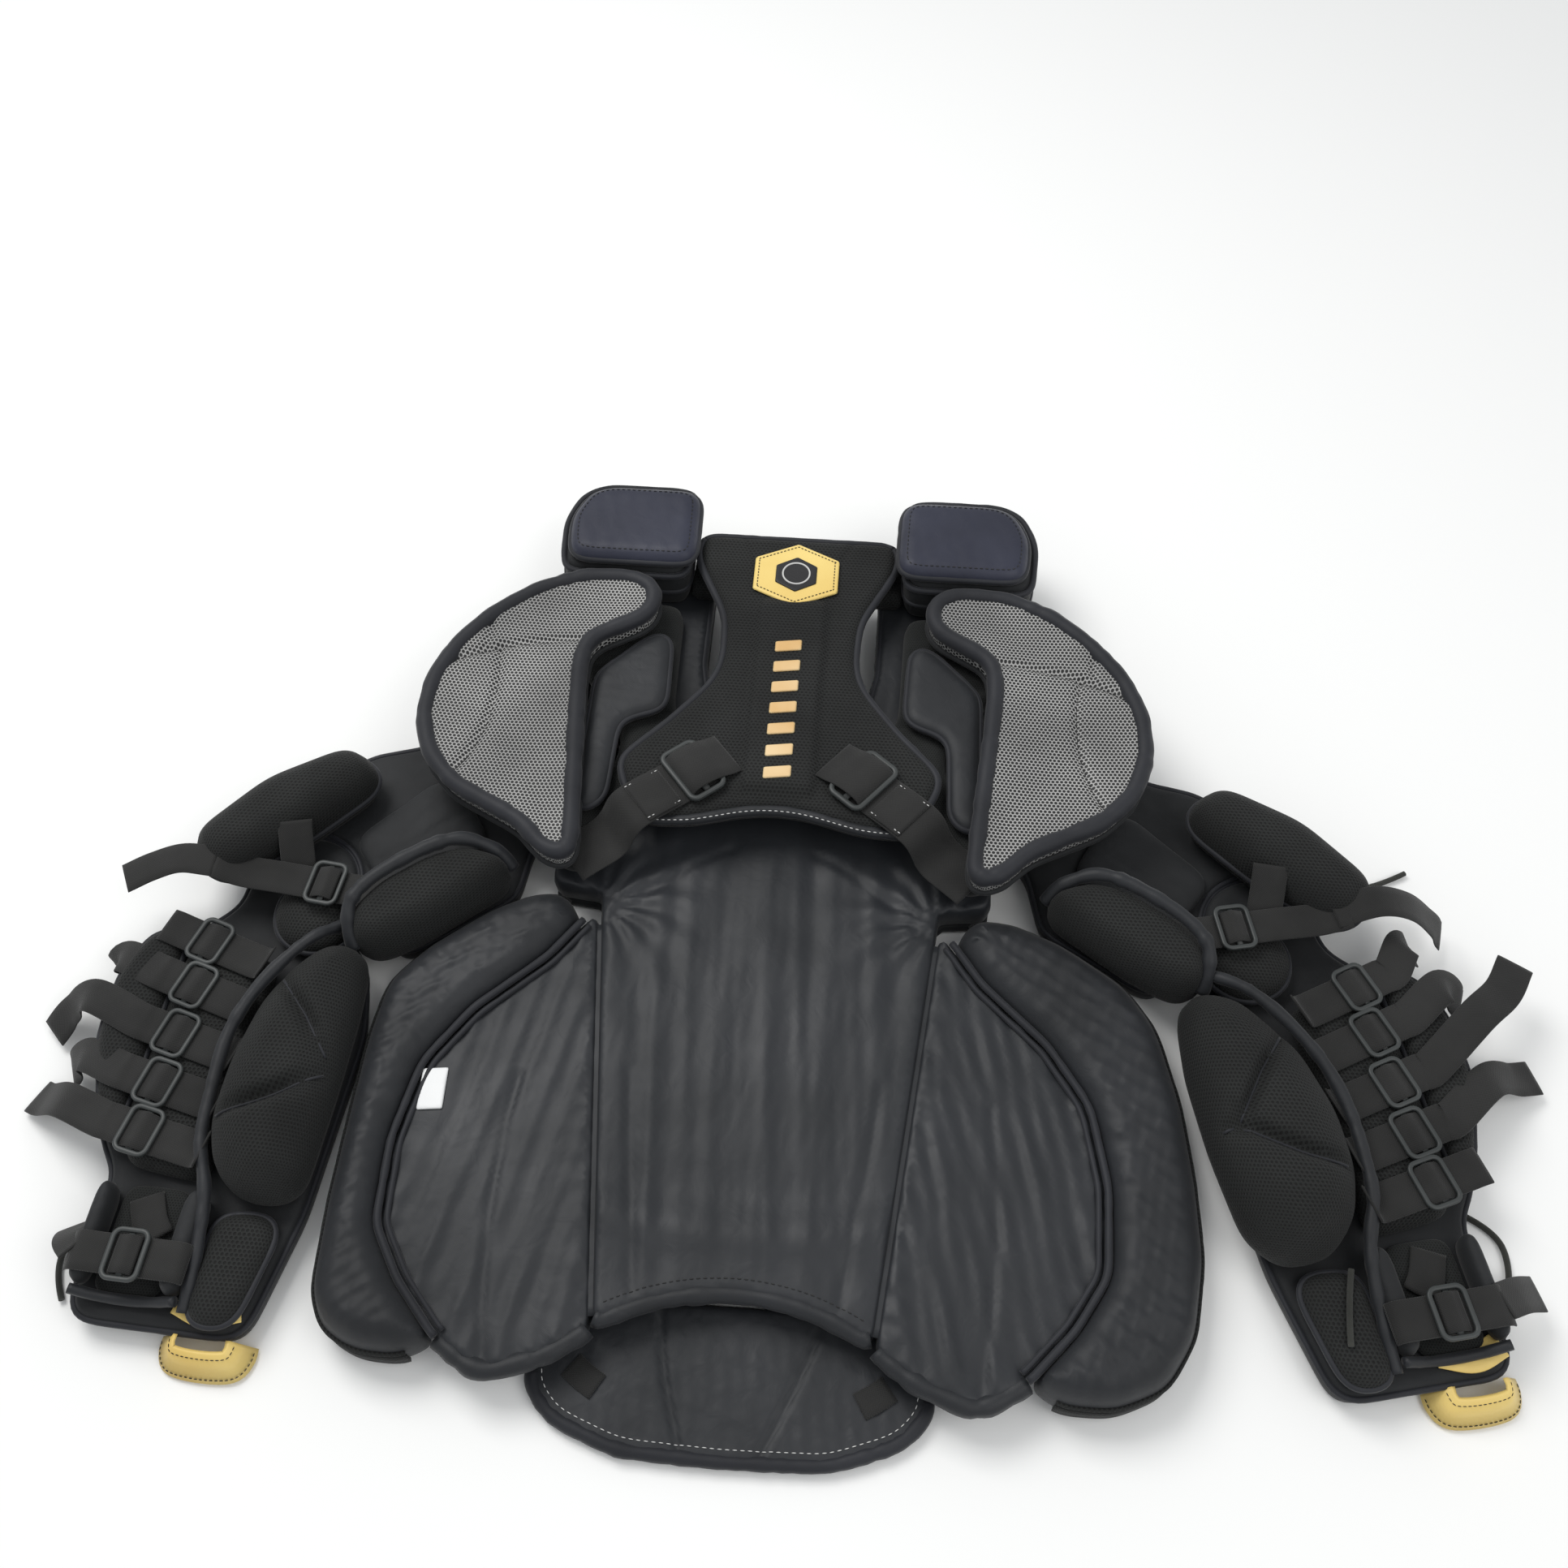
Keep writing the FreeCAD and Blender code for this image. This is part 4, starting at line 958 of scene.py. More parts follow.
@dataclass
class Wing:
    """One folding side: lining panel, padded roll, bindings and, on the left, the blank label."""

    side: str
    s: int

    def build(self) -> None:
        """Make the side's pieces."""
        body = self.side + "_wing"
        s = self.s
        panel = [(87, -129.5, 5), (112, -146, 14), (150, -160, 24)] + ROLL_INNER + [(120.2, 157.5, 3)]

        def folds(x: np.ndarray, y: np.ndarray, d: np.ndarray, t: np.ndarray) -> np.ndarray:
            lean = math.pi / 2 + s * 0.16
            z = 2.7 * creases(x, y, lean, 38, 51 + s, 0.14) + 0.5 * creases(x, y, lean, 17, 61 + s, 0.2)
            z += 1.2 * np.exp(-d / 9) * np.sin(t / 3.4 + 2 * np.sin(t / 23))
            flat = np.exp(-(((x + 211) / 16) ** 4) - (((y - 15) / 24) ** 4))
            return z * (1 - 0.9 * flat)

        seam = flowing([(s * 150, -154), (s * 158, -90), (s * 160, -30), (s * 156, 30)])
        lining = Pad(self.side + "_side_lining", mirrored(panel, s), 10.2, 34.0, LINER, body,
                [self.side + "_side_panel"], rim=4, under=3, waist=0.6, step=3.4, soft=3.0, relief=folds,
                seams=[(seam, 1.8, 3.0)], fill=0.5)
        lining.build()
        self.fold_tape()
        roll = ROLL_OUTER[self.side] + ROLL_INNER[::-1]

        def gathers(x: np.ndarray, y: np.ndarray, d: np.ndarray, t: np.ndarray) -> np.ndarray:
            edge = np.exp(-d / 13)
            z = 1.5 * edge * (np.sin(t / 2.3 + 1.9 * np.sin(t / 17)) + 0.9 * np.sin(t / 4.3 + 2.0))
            z = z * (0.6 + 0.4 * np.sin(t / 61 + s))
            return z + 2.2 * creases(x, y, 0.3 * s, 24, 71 + s, 1.1) - 1.0

        pad = Pad(self.side + "_roll_cushion", mirrored(roll, s), 0.3, 47.5, SLATE, body, [self.side + "_side_roll"],
                rim=19, under=12, waist=0.42, step=2.4, relief=gathers, fill=0.85)
        pad.build()
        ring = pad.ring
        a, b = (s * 196, -151), (s * 140, 166)
        outer = self.run(ring, a, b)
        shifted = shrunk(ring, 0.3)
        pick = [int(np.argmin(np.linalg.norm(ring - p, axis=1))) for p in outer]
        piping(self.side + "_roll_piping", at_height(shifted[pick], 27.0), 1.7, body, AIR_MESH, seed=15)
        band = np.column_stack([shifted[pick], np.full(len(pick), 15.0)])
        sweep(self.side + "_roll_mesh_band", band, np.array([(-1.2, -7.5), (1.2, -7.5), (1.6, 0), (1.2, 7.5),
                (-1.2, 7.5)]), AIR_MESH, body)
        p, q = (s * 179, -141), (s * 130, 146)
        inner = self.run(lining.ring, p, q)
        piping(self.side + "_inner_piping", at_height(inner, 36.0), 2.6, body, seed=16)
        beside = [int(np.argmin(np.linalg.norm(lining.ring - v, axis=1))) for v in inner]
        piping(self.side + "_inner_cord", at_height(shrunk(lining.ring, 6.0)[beside], 34.6), 1.9, body, seed=17)
        p, q = (s * 88, -130), (s * 178, -143)
        lobe = self.run(lining.ring, p, q)
        piping(self.side + "_lobe_binding", at_height(lobe, 27.5), 6.2, body, SLATE, ripple=0.08, seed=18)
        if s < 0:
            base = max(lining.top(x, y) for x in (-220, -212, -203) for y in (0, 10, 20, 30)) + 0.2
            label = Pad("woven_label", [(-219, 0, 0.6), (-202, 2, 0.6), (-203, 31, 0.6), (-220, 29, 0.6)], base,
                    base + 0.9, LABEL, body, ["blank_label"], stuffed=False, rim=1.0, under=0.8, step=1.6, fill=0.1,
                    soft=0.0, relief=lambda x, y, d, t: 0.5 * np.sin(y / 9.0) + 0.5)
            label.build()

    def run(self, ring: np.ndarray, start: tuple[float, float], end: tuple[float, float]) -> np.ndarray:
        """Stretch of a ring between two places, in the same sense on either side."""
        return stretch(ring, start, end) if self.s > 0 else stretch(ring, end, start)

    def fold_tape(self) -> None:
        """Cloth tape sewn across the fold between the liner and the side, made as a flat strip."""
        s = self.s
        low, high = np.array([s * 87.0, -129.5]), np.array([s * 120.2, 157.5])
        length = np.linalg.norm(high - low)
        along = (high - low) / length
        across = np.array([along[1], -along[0]]) * s
        rows = np.arange(8.0, length - 6.0, 6.0)
        columns = np.linspace(-TAPE_HALF, TAPE_HALF, 9)
        wide = len(columns)
        flat = np.array([low + along * r + across * c for r in rows for c in columns])
        points = np.vstack([np.column_stack([flat, np.full(len(flat), z)]) for z in (TAPE_TOP, TAPE_TOP - TAPE_THICK)])
        uvs = np.vstack([flat, flat]) * MM
        count = len(flat)
        cells = [(r * wide + c, r * wide + c + 1, (r + 1) * wide + c + 1,
                (r + 1) * wide + c) for r in range(len(rows) - 1) for c in range(wide - 1)]
        edge = (list(range(wide)) + [r * wide + wide - 1 for r in range(1,
                len(rows))] + [(len(rows) - 1) * wide + c for c in range(wide - 2, -1,
                -1)] + [r * wide for r in range(len(rows) - 2, 0, -1)])
        turn = 1 if s > 0 else -1
        faces = [cell[::turn] for cell in cells] + [tuple(v + count for v in cell[::-turn]) for cell in cells]
        for a, b in zip(edge, edge[1:] + edge[:1]):
            faces.append((a, a + count, b + count, b)[::turn])
        tape = make_piece(self.side + "_fold_tape", points, faces, uvs, LINER, None)
        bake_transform(tape)


@dataclass
class Flap:
    """Half-moon belly flap with its sewn lines, hem and webbing tabs."""

    body: str = "flap"

    def build(self) -> None:
        """Make the flap's pieces."""
        outline = whole([(0, -196), (64, -194, 40), (108, -178, 30), (126, -156, 16), (112, -102.8, 10), (0, -102.8)])
        lines = [(flowing([(-47, -100), (-42, -140), (-26, -194)]), 2.6, 2.0),
                (flowing([(58, -100), (44, -140), (20, -194)]), 2.6, 2.0)]
        flap = Pad("belly_flap_cushion", outline, 0.2, 9.6, LINER, self.body, ["belly_flap"], rim=7, under=4,
                waist=0.4, step=2.8, seams=lines, fill=0.4, relief=lambda x, y, d,
                t: 0.8 * creases(x, y, 1.5, 9, 81, 0.9) + 0.6 * creases(x, y, 0.8, 17, 82, 1.2) - 0.8)
        flap.build()
        hem = stretch(shrunk(flap.ring, 1.5), (-124, -152), (124, -152))
        piping("flap_hem", at_height(hem, 5.4), 4.6, self.body, PIPING, ripple=0.06, seed=19)
        stitches("flap_topstitch", flap.drape(stretch(shrunk(flap.ring, 8.0), (-116, -150), (116, -150)), 0.4),
                self.body, pitch=4.6, length=2.8, radius=0.3)
        for side, s in (("left", -1), ("right", 1)):
            line = np.array([(s * 98, -146, 9.2), (s * 90, -152, 9.5), (s * 80, -158, 9.4)])
            webbing(side + "_flap_tab", flowing(line, 2.5), 17, self.body, 1.2, ["flap_tabs"] if s > 0 else ())


@dataclass
class ShoulderCap:
    """Grey mesh lining of a shoulder cap with its dark binding and sewn lines."""

    side: str
    s: int

    def build(self) -> None:
        """Make the cap's pieces."""
        s, body = self.s, self.side + "_cap"
        outline = [(146, 170, 12), (164, 180, 16), (178, 197, 20), (201, 209, 30), (232, 225, 24), (255, 251, 26),
                (266, 284, 34), (265, 320, 34), (252, 355, 36), (228, 387, 30), (199, 412, 28), (164, 428, 26),
                (124, 430, 20), (105, 419, 12), (103, 400, 12), (110, 386, 10), (130, 374, 14), (150, 362, 10),
                (152, 338, 16), (148, 292, 40), (143, 246, 30), (138, 198, 16), (136, 178, 10)]
        lines = [(flowing(mirrored([(264, 326), (240, 342), (205, 356), (160, 362), (148, 352)], s)), 4.0, 2.6),
                (flowing(mirrored([(218, 352), (214, 320), (216, 282), (226, 248), (236, 232)], s)), 3.4, 2.6),
                (flowing(mirrored([(232, 384), (226, 366), (228, 348)], s)), 2.6, 2.6),]
        cap = Pad(self.side + "_cap_lining", mirrored(outline, s), 56.0, 81.5, SILVER_MESH, body,
                [self.side + "_shoulder_cap"], rim=10, under=6, waist=0.55, step=3.2, seams=lines, relief=lambda x, y,
                d, t: -5.5 * (1 - np.exp(-d / 26)) + 0.8 * creases(x, y, 1.0 * s, 42, 91 + s, 0.5), fill=0.4)
        cap.build()
        piping(self.side + "_cap_binding", at_height(shrunk(cap.ring, 3.4), 77.0), 6.4, body, PIPING, closed=True,
                ripple=0.05, seed=21)
        piping(self.side + "_cap_edge", at_height(shrunk(cap.ring, 0.2), 62.0), 2.4, body, SHELL, closed=True, seed=22)
        for k, (line, _, _) in enumerate(lines[:2]):
            stitches("%s_cap_seam_%d" % (self.side, k), cap.drape(line, 0.3)[3:-3], body, DARK_THREAD, 3.2, 2.8, 0.5)


# ------------------------------------------------------------------ arms


@dataclass
class ArmFrame:
    """Plan frame of an upper arm or a forearm: origin, along and outward."""

    side: str
    lower: bool

    def __post_init__(self) -> None:
        """Work the frame out from the lie of the arm."""
        s, above, below = {"left": (-1, 38.0, 87.0), "right": (1, 33.0, 77.0)}[self.side]
        a = math.radians(above)
        along = np.array([s * math.cos(a), -math.sin(a)])
        outward = np.array([s * math.sin(a), math.cos(a)])
        origin = np.array([s * 185.0, 290.0])
        if self.lower:
            origin = origin + along * 194.0
            a = math.radians(below)
            along = np.array([s * math.cos(a), -math.sin(a)])
            outward = np.array([s * math.sin(a), math.cos(a)])
        self.s, self.origin, self.along, self.outward = s, origin, along, outward

    def plan(self, points: Points) -> list[tuple[float, ...]]:
        """Points given as (along, outward, ...) in plan."""
        out = []
        for p in points:
            q = self.origin + self.along * p[0] + self.outward * p[1]
            out.append((float(q[0]), float(q[1])) + tuple(p[2:]))
        return out

    def path(self, points: Points, step: float = 2.5) -> np.ndarray:
        """Smooth path through (along, outward, z) points."""
        return flowing(self.plan(points), step)

    def turn(self) -> float:
        """Direction of the arm in plan, in radians."""
        return math.atan2(self.along[1], self.along[0])


@dataclass
class UpperArm:
    """Upper arm: shell, bicep and triceps pads, strap with its slide."""

    side: str

    def build(self) -> None:
        """Make the upper arm's pieces."""
        f = ArmFrame(self.side, False)
        body = self.side + "_upper_arm"
        bite = [(194 + 41 * math.cos(math.radians(a)), 41 * math.sin(math.radians(a))) for a in range(225, 134, -10)]
        outline = [(-57.5, -57.5, 57), (34, -57.5, 30), (72, -96, 14), (165, -93, 14)] + bite + \
            [(165, 71, 14), (104, 73, 20), (66, 57.5, 30), (-57.5, 57.5, 57)]
        shell = Pad(self.side + "_sleeve_shell", f.plan(outline), 0.6, 22.0, SHELL, body,
                [self.side + "_upper_arm_shell"], rim=6, under=4, step=4.0, relief=lambda x, y, d,
                t: 0.8 * creases(x, y, f.turn(), 24, 101, 0.5) - 0.8)
        shell.build()
        Pad(self.side + "_sleeve_root", f.plan([(-23, -23, 22), (23, -23, 22), (23, 23, 22), (-23, 23, 22)]), 22,
                51.4, SHELL, body, rim=6, under=4, step=4).build()
        hem = shrunk(shell.ring, 0.4)
        piping(self.side + "_sleeve_piping", at_height(hem, 17.5), 2.2, body, closed=True, seed=31)
        lining = Pad(self.side + "_sleeve_lining", f.plan([(66, -52, 16), (150, -52, 12), (150, 10, 10), (96, 18, 16),
                (62, 26, 16)]), 21.0, 29.0, SHELL, body, rim=12, under=4, step=3.6,
                seams=[(np.array(f.plan([(70, -16), (150, -20)])), 1.6, 2.2)], relief=lambda x, y, d,
                t: 1.3 * creases(x, y, f.turn() + 0.3, 16, 103, 0.5))
        lining.build()
        bicep = Pad(self.side + "_bicep_cushion", f.plan([(104, 28, 19), (176, 16, 60), (246, 13, 21), (252, 60, 21),
                (181, 76, 60), (116, 68, 21)]), 22.5, 68.0, AIR_MESH, body, [self.side + "_bicep_pad"], rim=22,
                under=12, waist=0.4, step=3.4, relief=lambda x, y, d, t: 0.7 * creases(x, y, f.turn() + 1.3, 26, 105,
                0.5))
        bicep.build()
        piping(self.side + "_bicep_piping", at_height(shrunk(bicep.ring, 0.2), 40.0), 2.2, body, closed=True, seed=33)
        triceps = Pad(self.side + "_triceps_cushion", f.plan([(64, -88, 10), (86, -60, 18), (112, -52, 30),
                (152, -52, 40), (182, -62, 16), (190, -86, 14), (176, -99, 14), (140, -102, 40), (76, -99, 12)]), 22,
                70.0, AIR_MESH, body, [self.side + "_triceps_pad"], rim=15, under=10, waist=0.45, step=3.2,
                relief=lambda x, y, d, t: 0.6 * creases(x, y, f.turn() + 1.3, 22, 107, 0.5))
        triceps.build()
        edge = f.path([(66, -88, 44), (72, -76, 58), (88, -61, 68), (112, -55, 71), (150, -55, 71), (174, -62, 69),
                (184, -74, 60), (188, -84, 46)])
        piping(self.side + "_triceps_roll", edge, 5.0, body, SLATE, ripple=0.07, seed=35)
        strap = f.path([(147, -66, 56), (156, -57, 51.5), (170, -44, 50.8), (184, -30, 50.8), (206, -8, 50.8),
                (226, 11, 51.6), (240, 24, 60)])
        webbing(self.side + "_sleeve_web", strap, 25, body, nodes=[self.side + "_upper_arm_strap"])
        way = np.array([0.7105, 0.7037])
        middle = np.array([182.8, -30.7])
        plan = f.plan([tuple(middle), tuple(middle + way)])
        along = np.array(plan[1]) - np.array(plan[0])
        slide_frame(self.side + "_sleeve_slide", (plan[0][0], plan[0][1], 53.7), along, (11.0, 15.5),
                self.side + "_upper_glide", [self.side + "_upper_arm_slide"])
        over = [tuple(middle + way * t) + (z,) for t, z in ((-7.5, 52.8), (-4, 54.6), (0, 56.2), (4, 54.6),
                (7.5, 52.8))]
        webbing(self.side + "_sleeve_slide_web", f.path(over, 1.5), 24, self.side + "_upper_glide", 1.2)
        tail = {"left": [(240, 24, 60), (258, 38, 62), (278, 46, 58), (298, 50, 54)],
                "right": [(232, 18, 57), (252, 40, 64), (272, 58, 52), (290, 70, 30), (300, 74, 16)]}[self.side]
        webbing(self.side + "_sleeve_tail", f.path(tail), 24, body, 1.4)
        tab = f.path([(180, 22, 63), (186, 10, 56), (192, -2, 48), (196, -8, 42)])
        webbing(self.side + "_sleeve_tab", tab, 24, body, 1.6)


@dataclass
class Forearm:
    """Forearm: shell, elbow dome, cushions, straps with slides, cuff, guard and loop."""

    side: str

    def build(self) -> None:
        """Make the forearm's pieces."""
        self.f = ArmFrame(self.side, True)
        self.body = self.side + "_forearm"
        self.shell()
        self.dome()
        self.straps()
        self.cuff()
        self.loop()
        LOG.info("%s arm dressed", self.side)

    def shell(self) -> None:
        """Base shell with its bound edge, the mesh lining and the outer pad."""
        f, body = self.f, self.body
        shell = Pad(self.side + "_forearm_base", f.plan([(-39.8, -39.8, 39.6), (34, -39.8, 18), (64, -64, 14),
                (110, -74.6, 40), (236, -69.6, 30), (317.6, -53.6, 14), (317.6, 59.6, 14), (224, 61.6, 14),
                (204, 77.6, 16), (130, 103.6, 50), (64, 97.6, 24), (46, 62, 16), (24, 39.8, 16),
                (-39.8, 39.8, 39.6)]), 0.6, 22.0, SHELL, body, [self.side + "_forearm_shell"], rim=6, under=4,
                step=4.2, relief=lambda x, y, d, t: 0.5 * creases(x, y, f.turn(), 24, 111, 0.6) - 0.6)
        shell.build()
        piping(self.side + "_forearm_piping", at_height(shrunk(shell.ring, 0.4), 16.5), 2.2, body, closed=True, seed=41)
        Pad(self.side + "_forearm_mesh_lining", f.plan([(70, -5, 4), (228, -5, 4), (222, 50, 10), (200, 61, 10),
                (64, 61, 10), (64, 16, 8)]), 21.8, 39.0, AIR_MESH, body, [self.side + "_forearm_lining"], rim=20,
                under=3, waist=0.3, step=3.6, relief=lambda x, y, d, t: 0.9 * creases(x, y, f.turn() + 0.6, 26, 113,
                0.8)).build()
        pad = Pad(self.side + "_outer_cushion", f.plan([(52, 62.4, 10), (56, 88, 18), (92, 101, 34), (140, 99, 40),
                (199, 76, 9), (199, 62.4, 5)]), 22, 39.6, AIR_MESH, body, [self.side + "_forearm_side_pad"], rim=11,
                under=6, step=3.4, relief=lambda x, y, d, t: 0.5 * creases(x, y, f.turn() + 1.2, 20, 115, 0.5))
        pad.build()
        piping(self.side + "_outer_piping", at_height(shrunk(pad.ring, 0.2), 30.5), 2.4, body, closed=True, seed=43)
        guard = Pad(self.side + "_guard_cushion", f.plan([(241, -64, 13), (315, -50, 13), (315, -18, 11),
                (245, -18, 11)]), 22, 36.0, AIR_MESH, body, [self.side + "_forearm_guard"], rim=11, under=6, step=3.2)
        guard.build()
        piping(self.side + "_guard_piping", at_height(shrunk(guard.ring, 0.2), 29.0), 2.2, body, closed=True, seed=45)

    def dome(self) -> None:
        """Three-panel elbow dome, the round cushion above it and the thick piping between dome and lining."""
        f, body = self.f, self.body
        outline = {"left": [(56, -54, 12), (62, -38, 16), (84, -20, 20), (110, -8, 30), (150, -1, 40), (192, -1, 26),
                (222, -12, 18), (239, -34, 16), (239, -60, 18), (228, -73, 14), (162, -75, 50), (108, -75, 30),
                (64, -72, 14)], "right": [(53, -66, 12), (64, -42, 16), (107, -13, 30), (150, -3, 40), (188, -4, 26),
                (219, -15, 20), (239, -38, 18), (240, -68, 18), (218, -86, 22), (162, -91, 60), (108, -91, 30),
                (62, -84, 14)]}[self.side]
        seams = [(np.array(f.plan([(86, -16), (120, -48), (154, -74), (158, -96)])), 10.0, 4.6),
                (np.array(f.plan([(198, 2), (176, -40), (154, -74)])), 10.0, 4.6)]
        dome = Pad(self.side + "_elbow_dome_cushion", f.plan(outline), 22, 70.0, AIR_MESH, body,
                [self.side + "_elbow_dome"], rim=30, under=12, waist=0.35, step=3.2, seams=seams, fill=0.9)
        dome.build()
        for k, (line, _, _) in enumerate(seams):
            laid = dome.drape(even_steps(line, 3.0), 0.3)
            keep = inside(laid[:, :2], shrunk(dome.ring, 6))
            if keep.sum() > 5:
                piping("%s_dome_seam_%d" % (self.side, k), laid[keep], 0.9, body, seed=47 + k)
        bend = {"left": [(42, -50, 46), (60, -34, 58), (84, -18, 60), (110, -4, 57), (138, 4, 52)],
                "right": [(40, -66, 46), (50, -54, 57), (66, -36, 61), (95, -16, 59), (123, -3, 55),
                (152, 3, 51)]}[self.side]
        line = f.path(bend + [(178, 3, 49), (206, 0, 47), (236, -11, 42), (272, -16, 36), (308, -17, 29)])
        piping(self.side + "_thick_piping", line, 4.2, body, SLATE, ripple=0.08, seed=49)
        cushion = Pad(self.side + "_elbow_round", f.plan([(-3, -55, 32), (61, -55, 32), (61, 9, 31.8),
                (-3, 9, 31.8)]), 22, 44.5, AIR_MESH, body, [self.side + "_elbow_cushion"], rim=22, under=8,
                waist=0.35, step=3.0, fill=0.9)
        cushion.build()
        piping(self.side + "_elbow_round_piping", at_height(shrunk(cushion.ring, 0.2), 30.5), 2.2, body, closed=True,
                seed=51)

    def straps(self) -> None:
        """Five webbing straps over the mesh lining, with loose tails past their slides."""
        f, body = self.f, self.body
        tails = {"left": {1: [(78, 104, 30), (82, 112, 12)], 2: [(112, 112, 36), (117, 130, 19), (131, 143, 6)],
                3: [(152, 104, 30), (158, 118, 8)], 4: [(186, 104, 34), (180, 128, 12), (176, 138, 4)]},
                "right": {0: [(40, 84, 44), (38, 96, 26)], 1: [(72, 102, 40), (80, 118, 20)],
                2: [(100, 112, 48), (84, 138, 44), (64, 157, 40)], 3: [(140, 110, 34), (136, 138, 15),
                (134, 154, 7)]},}[self.side]
        for i, (near, far) in enumerate(((78, 56), (111, 90), (145, 127), (178, 163), (210, 197))):
            a, b = np.array([near + 4, -16.0]), np.array([far, 74.0])
            run = (b - a) / np.linalg.norm(b - a)

            def at(t: float, z: float) -> tuple[float, float, float]:
                p = a + run * t
                return (float(p[0]), float(p[1]), z)

            points = [at(12.5, 50), at(16, 44), at(22, 41.4), at(36, 41.0), at(48, 40.9), at(54, 42.4), at(60, 45.2),
                    at(66, 42.4), at(72, 40.9), at(82, 41.0), at(90, 41.6)]
            if i in tails:
                points += [(p[0], p[1], p[2]) for p in tails[i]]
            else:
                points += [at(97, 40.5)]
            webbing("%s_elbow_web_%d" % (self.side, i), f.path(points), 25, body,
                    nodes=[self.side + "_forearm_straps"] if i == 0 else ())
            spot = f.plan([at(60, 0)[:2], at(61, 0)[:2]])
            along = np.array(spot[1]) - np.array(spot[0])
            slide_frame("%s_elbow_slide_%d" % (self.side, i), (spot[0][0], spot[0][1], 43.3), along, (11.0, 15.0),
                    body, [self.side + "_forearm_slides"] if i == 0 else ())

    def cuff(self) -> None:
        """Open cuff: two padded walls, a mesh floor, strap, slide and inner tab."""
        f, body = self.f, self.body
        for k, (low, high) in enumerate(((-13.6, 1.6), (46.4, 59))):
            Pad("%s_cuff_wall_%d" % (self.side, k), f.plan([(232, low, 6), (302, low, 7), (302, high, 6),
                    (232, high, 6)]), 22, 43.8, SHELL, body, [self.side + "_cuff_pad"] if k == 0 else (), rim=5.5,
                    under=4, step=3.0, relief=lambda x, y, d, t: 0.6 * creases(x, y, f.turn() + 1.2, 12, 121,
                    0.6)).build()
        Pad(self.side + "_cuff_floor", f.plan([(232, 1.8, 2), (302, 1.8, 2), (302, 46.2, 2), (232, 46.2, 2)]), 21.8,
                26.2, FINE_MESH, body, rim=4, under=3, step=4).build()
        hem = f.path([(303, -12, 34), (304, 10, 27), (304, 36, 27), (303, 56, 34)])
        piping(self.side + "_cuff_hem", hem, 3.4, body, SLATE, seed=53)
        strap = f.path([(282, -15, 40), (282, -10, 44.9), (282, 4, 44.9), (282, 22, 44.9), (282, 40, 44.9),
                (282, 54, 45.2), (282, 60, 40)])
        webbing(self.side + "_cuff_web", strap, 25, body, nodes=[self.side + "_cuff_strap"])
        spot = f.plan([(282, 22)])[0]
        slide_frame(self.side + "_wrist_slide", (spot[0], spot[1], 47.8), f.outward, (11.0, 15.0),
                self.side + "_cuff_glide", [self.side + "_cuff_slide"])
        over = f.path([(282, 14.5, 46.9), (282, 18, 48.6), (282, 22, 50.2), (282, 26, 48.6), (282, 29.5, 46.9)], 1.5)
        webbing(self.side + "_wrist_slide_web", over, 24, self.side + "_cuff_glide", 1.2)
        tail = {"left": [(280, 56, 45), (272, 66, 36), (262, 72, 20)], "right": [(280, 56, 45), (276, 74, 34),
                (274, 92, 18)]}[self.side]
        webbing(self.side + "_cuff_tail", f.path(tail), 23, body, 1.4)
        tab = f.path([(240, 30, 27.4), (256, 22, 29), (266, 14, 30)])
        webbing(self.side + "_cuff_tab", tab, 22, body, 1.6)

    def loop(self) -> None:
        """Gold wrist loop with dark edge stitching."""
        f, body = self.f, self.body
        m = -30 if self.side == "left" else 34
        path = f.path([(318, m - 23, 11), (325, m - 23, 11), (332, m - 18, 11), (334, m, 11), (332, m + 18, 11),
                (325, m + 23, 11), (318, m + 23, 11)], 2.0)
        lean = 6.5 * f.s
        band = np.array([(-lean - 1.3, -8.6), (-lean + 1.3, -8.9), (lean + 1.3, 8.6), (lean - 1.3, 8.9)])
        sweep(self.side + "_gold_loop", path, band, GOLD, body, nodes=[self.side + "_wrist_loop"])
        for k, z in enumerate((-6.2, 6.2)):
            line = path + np.array([0, 0, z])
            _, sideways = frames(line, False)
            for j, off in enumerate((-1.6, 1.6)):
                row = line + sideways * (off + lean * z / 8.7)
                stitches("%s_loop_stitch_%d%d" % (self.side, k, j), row[2:-2], body, DARK_THREAD, 3.2, 2.4, 0.3)
        flat = f.path([(300, m - 20, 23.4), (306, m, 24), (300, m + 20, 23.4)], 2.0)
        sweep(self.side + "_loop_band", flat, web_section(16, 2.0), GOLD, body)


# ------------------------------------------------------------------ laces, stage and camera


def lace(name: str, route: Points, body: str, nodes: Sequence[str], exit_point: tuple[float, float,
        float] | None = None) -> bpy.types.Object:
    """A free braided lace on a smooth line through its route in metres."""
    curve = bpy.data.curves.new(name, "CURVE")
    curve.dimensions = "3D"
    curve.bevel_depth = 1.0
    curve.bevel_resolution = 3
    curve.use_fill_caps = True
    spline = curve.splines.new("NURBS")
    spline.points.add(len(route) - 1)
    for point, place in zip(spline.points, route):
        point.co = (*place, 1.0)
        point.radius = 0.002
    spline.order_u = 3
    spline.use_endpoint_u = True
    spline.resolution_u = 10
    curve.materials.append(BENCH.material(LACE))
    piece = bpy.data.objects.new(name, curve)
    bpy.context.scene.collection.objects.link(piece)
    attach(piece, body)
    if nodes:
        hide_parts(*nodes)
    bpy.context.view_layer.update()
    depth, curve.bevel_depth = curve.bevel_depth, 0.0
    bare = bpy.data.meshes.new_from_object(piece.evaluated_get(bpy.context.evaluated_depsgraph_get()))
    bpy.data.meshes.remove(bare)
    curve.bevel_depth = depth
    return piece


